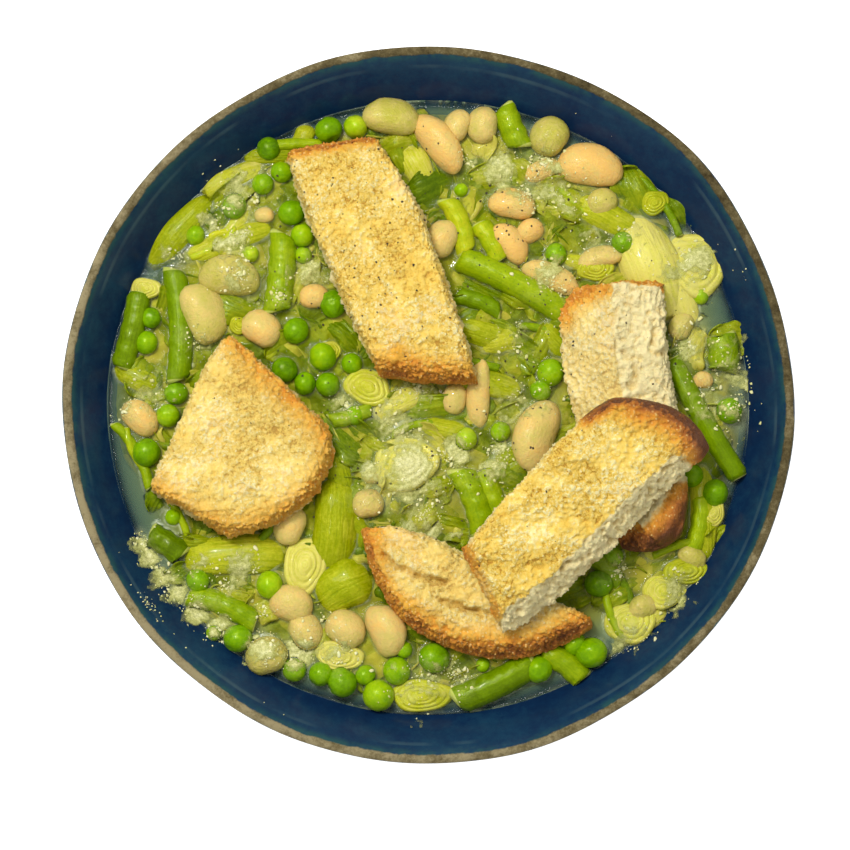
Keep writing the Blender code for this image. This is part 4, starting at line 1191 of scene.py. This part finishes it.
def on_glaze(x_pixel, y_pixel):
    """The point of the bowl's inner wall that a pixel shows, or nothing outside it."""
    height = BROTH_LEVEL
    for _ in range(6):
        place = spot(x_pixel, y_pixel, height)
        radius = math.hypot(place.x, place.y / OVAL) - WALL_CENTRE[0]
        if radius > WALL_CURVE:
            return None
        height = WALL_CENTRE[1] - math.sqrt(WALL_CURVE**2 - radius**2)
    return place


grain = begun(bpy.ops.mesh.primitive_ico_sphere_add, subdivisions=2, radius=0.5)
speck = begun(bpy.ops.mesh.primitive_ico_sphere_add, subdivisions=1, radius=0.5)
for model in (grain, speck):
    for vertex in model.data.vertices:
        vertex.co *= 1 + 0.45 * noise.noise(vertex.co * 3)
heap_trees = trees_of(heap + [soup, bowl])
bread_trees = trees_of([piece for piece in bpy.data.objects if piece.name.endswith("_bread")])
chance = random.Random(55)
crumbs = Crop("cheese_crumbs")
total = sum(spread * amount for _, _, spread, amount in CLOUD_DRIFTS)
for model, number, small, large in (
    (grain, CHEESE_CRUMBS, 0.0005, 0.0011), (speck, CHEESE_SPECKS, 0.00025, 0.0006),
):
    for x, y, spread, amount in CLOUD_DRIFTS:
        for _ in range(int(number * spread * amount / total)):
            away, turn = abs(chance.gauss(0, 0.5)) * spread, chance.uniform(0, 6.28)
            place = top_at(heap_trees, x + away * math.cos(turn), y + away * math.sin(turn))
            clump = noise.noise(place * 150) + 0.5 * noise.noise(place * 400)
            if math.hypot(place.x, place.y / SOUP_OVAL) > CRUMB_REACH or clump < chance.uniform(-0.25, 0.25):
                continue
            bit = chance.uniform(small, large)
            size = Matrix.Diagonal((bit * chance.uniform(0.8, 2.0), bit, bit * 0.5, 1))
            turned = Matrix.Rotation(chance.uniform(0, 6.28), 4, "Z")
            turned = turned @ Matrix.Rotation(chance.uniform(-0.6, 0.6), 4, "X")
            lifted = Matrix.Translation(place + Vector((0, 0, bit * 0.1)))
            crumbs.lay(model, lifted @ turned @ size, chance.random())
for x, y, spread, count in GLAZE_CRUMBS:
    for _ in range(count):
        place = on_glaze(x + chance.gauss(0, spread), y + chance.gauss(0, spread))
        if place is None or not BROTH_LEVEL + 0.001 < place.z < 0.0545:
            continue
        bit = chance.uniform(0.0002, 0.0007)
        lift = Vector((-place.x, -place.y, 0)).normalized() * 0.0002 + Vector((0, 0, 0.0001))
        size = Matrix.Diagonal((bit, bit * chance.uniform(0.6, 1), bit, 1))
        crumbs.lay(speck, Matrix.Translation(place + lift) @ size, chance.random())
shelve(speck)

# Where it lay thickest the cheese has melted into a torn, lumpy film over the tops of the vegetables.
FILM_STEP = 0.0005
FILM_STEPS = 372
FILM_REACH = 0.0985
STEEPEST = 0.0014
film = begun(
    bpy.ops.mesh.primitive_grid_add,
    x_subdivisions=FILM_STEPS, y_subdivisions=FILM_STEPS, size=FILM_STEPS * FILM_STEP,
)
film.name = "melted_cheese"
where = points_of(film)
drift = drift_at(where)
drift[np.hypot(where[:, 0], where[:, 1] / SOUP_OVAL) > FILM_REACH] = 0
body = np.full(len(where), -1.0)
for index in np.flatnonzero(drift > 0.05):
    place = Vector(where[index])
    torn = noise.fractal(place * 120, 0.7, 2.1, 4) * 0.55 + noise.noise(place * 700) * 0.25
    body[index] = drift[index] * 1.15 + torn - 0.40
    if body[index] > 0:
        top = max(tops_at(heap_trees, place.x, place.y)) + 0.0001
        where[index, 2] = top + 0.0003 * min(1, 3 * body[index]) + 0.0003 * noise.noise(place * 1100)
film.data.vertices.foreach_set("co", where.astype(np.float32).ravel())
store(film, "body", body)
bpy.ops.object.mode_set(mode="EDIT")
bpy.ops.mesh.select_mode(type="FACE")
shape = bmesh.from_edit_mesh(film.data)
layer = shape.verts.layers.float["body"]
for face in shape.faces:
    heights = [vertex.co.z for vertex in face.verts]
    bare = min(vertex[layer] for vertex in face.verts) <= 0
    face.select_set(bare or max(heights) - min(heights) > STEEPEST)
bmesh.update_edit_mesh(film.data)
bpy.ops.mesh.delete(type="FACE")
bpy.ops.object.mode_set(mode="OBJECT")
apply_modifier(film, "SOLIDIFY", thickness=0.0002, offset=-1)
curdled, at = new_finish("melted_cheese")
body = at.attribute("body")
lumps = at.noise(1100, 3, 0.75)
grainy = lumps.rise(0.34, 0.66)
coat_with(curdled, {
    "Base Color": (body * 0.9 + grainy * 0.4).clamp().blend((182, 188, 78), (222, 219, 148)),
    "Roughness": 0.35,
    "Specular IOR Level": 0.3,
    "Alpha": ((body * 2.0).clamp() * (0.45 + grainy * 0.45)).clamp(),
    "Normal": lumps.bump(0.2, 0.0004),
})
film.data.materials.append(curdled)
bpy.ops.object.shade_smooth()
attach(film, "root")
heap.append(film)

grated, at = new_finish("grated_cheese")
coat_with(grated, {
    "Base Color": at.attribute("tone").blend((206, 204, 130), (234, 230, 180)),
    "Roughness": 0.45,
    "Specular IOR Level": 0.3,
    "Subsurface Weight": 0.3,
    "Subsurface Radius": (0.002, 0.0015, 0.001),
    "Normal": at.noise(1800, 2).bump(0.4, 0.0003),
})
heap.append(crumbs.gather(grated))

pepper = Crop("ground_pepper")
for index in range(PEPPER_GRAINS):
    x, y, wide, tall = PEPPER_PATCHES[index % len(PEPPER_PATCHES)]
    place = top_at(heap_trees + bread_trees, chance.gauss(x, wide), chance.gauss(y, tall))
    if math.hypot(place.x, place.y) > PEPPER_REACH:
        continue
    bit = 0.00022 + 0.0007 * chance.random() ** 3
    turned = Matrix.Rotation(chance.uniform(0, 6.28), 4, "Z")
    size = Matrix.Diagonal((bit, bit * 0.7, bit * 0.5, 1))
    pepper.lay(grain, Matrix.Translation(place) @ turned @ size, chance.random())
shelve(grain)
black_pepper, at = new_finish("black_pepper")
coat_with(black_pepper, {
    "Base Color": at.attribute("tone").blend((24, 20, 12), (76, 60, 32)),
    "Roughness": 0.7,
    "Normal": at.noise(2500, 2).bump(0.5, 0.0002),
})
heap.append(pepper.gather(black_pepper))

for piece in heap:
    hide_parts("vegetables")

# The room
# A pale table top, one large soft light overhead and a bright sky all round, so that shadows stay faint.
bpy.ops.mesh.primitive_plane_add(size=6, location=(0, 0, -0.0002))
table = bpy.context.object
table.name = "table_top"
bpy.ops.object.transform_apply(location=True, rotation=True, scale=True)
top, at = new_finish("pale_table")
coat_with(top, {
    "Base Color": (0.93, 0.93, 0.92, 1),
    "Roughness": 0.7,
    "Emission Color": (1, 1, 1, 1),
    "Emission Strength": 0.85,
})
table.data.materials.append(top)

for name, place, size, power in (
    ("overhead", (-0.30, 0.40, 1.20), 0.60, 8.0),
    ("spark", (-0.28, 0.34, 0.90), 0.09, 3.6),
):
    bpy.ops.object.light_add(type="AREA", location=place)
    lamp = bpy.context.object
    lamp.name = name
    lamp.data.size = size
    lamp.data.energy = power
    lamp.rotation_euler = (Vector((0, 0, 0.04)) - Vector(place)).to_track_quat("-Z", "Y").to_euler()

world = bpy.data.worlds.new("bright_room")
world.use_nodes = True
world.node_tree.nodes["Background"].inputs["Color"].default_value = (1, 1, 1, 1)
world.node_tree.nodes["Background"].inputs["Strength"].default_value = 0.55
bpy.context.scene.world = world
bpy.context.scene.view_settings.view_transform = "Standard"
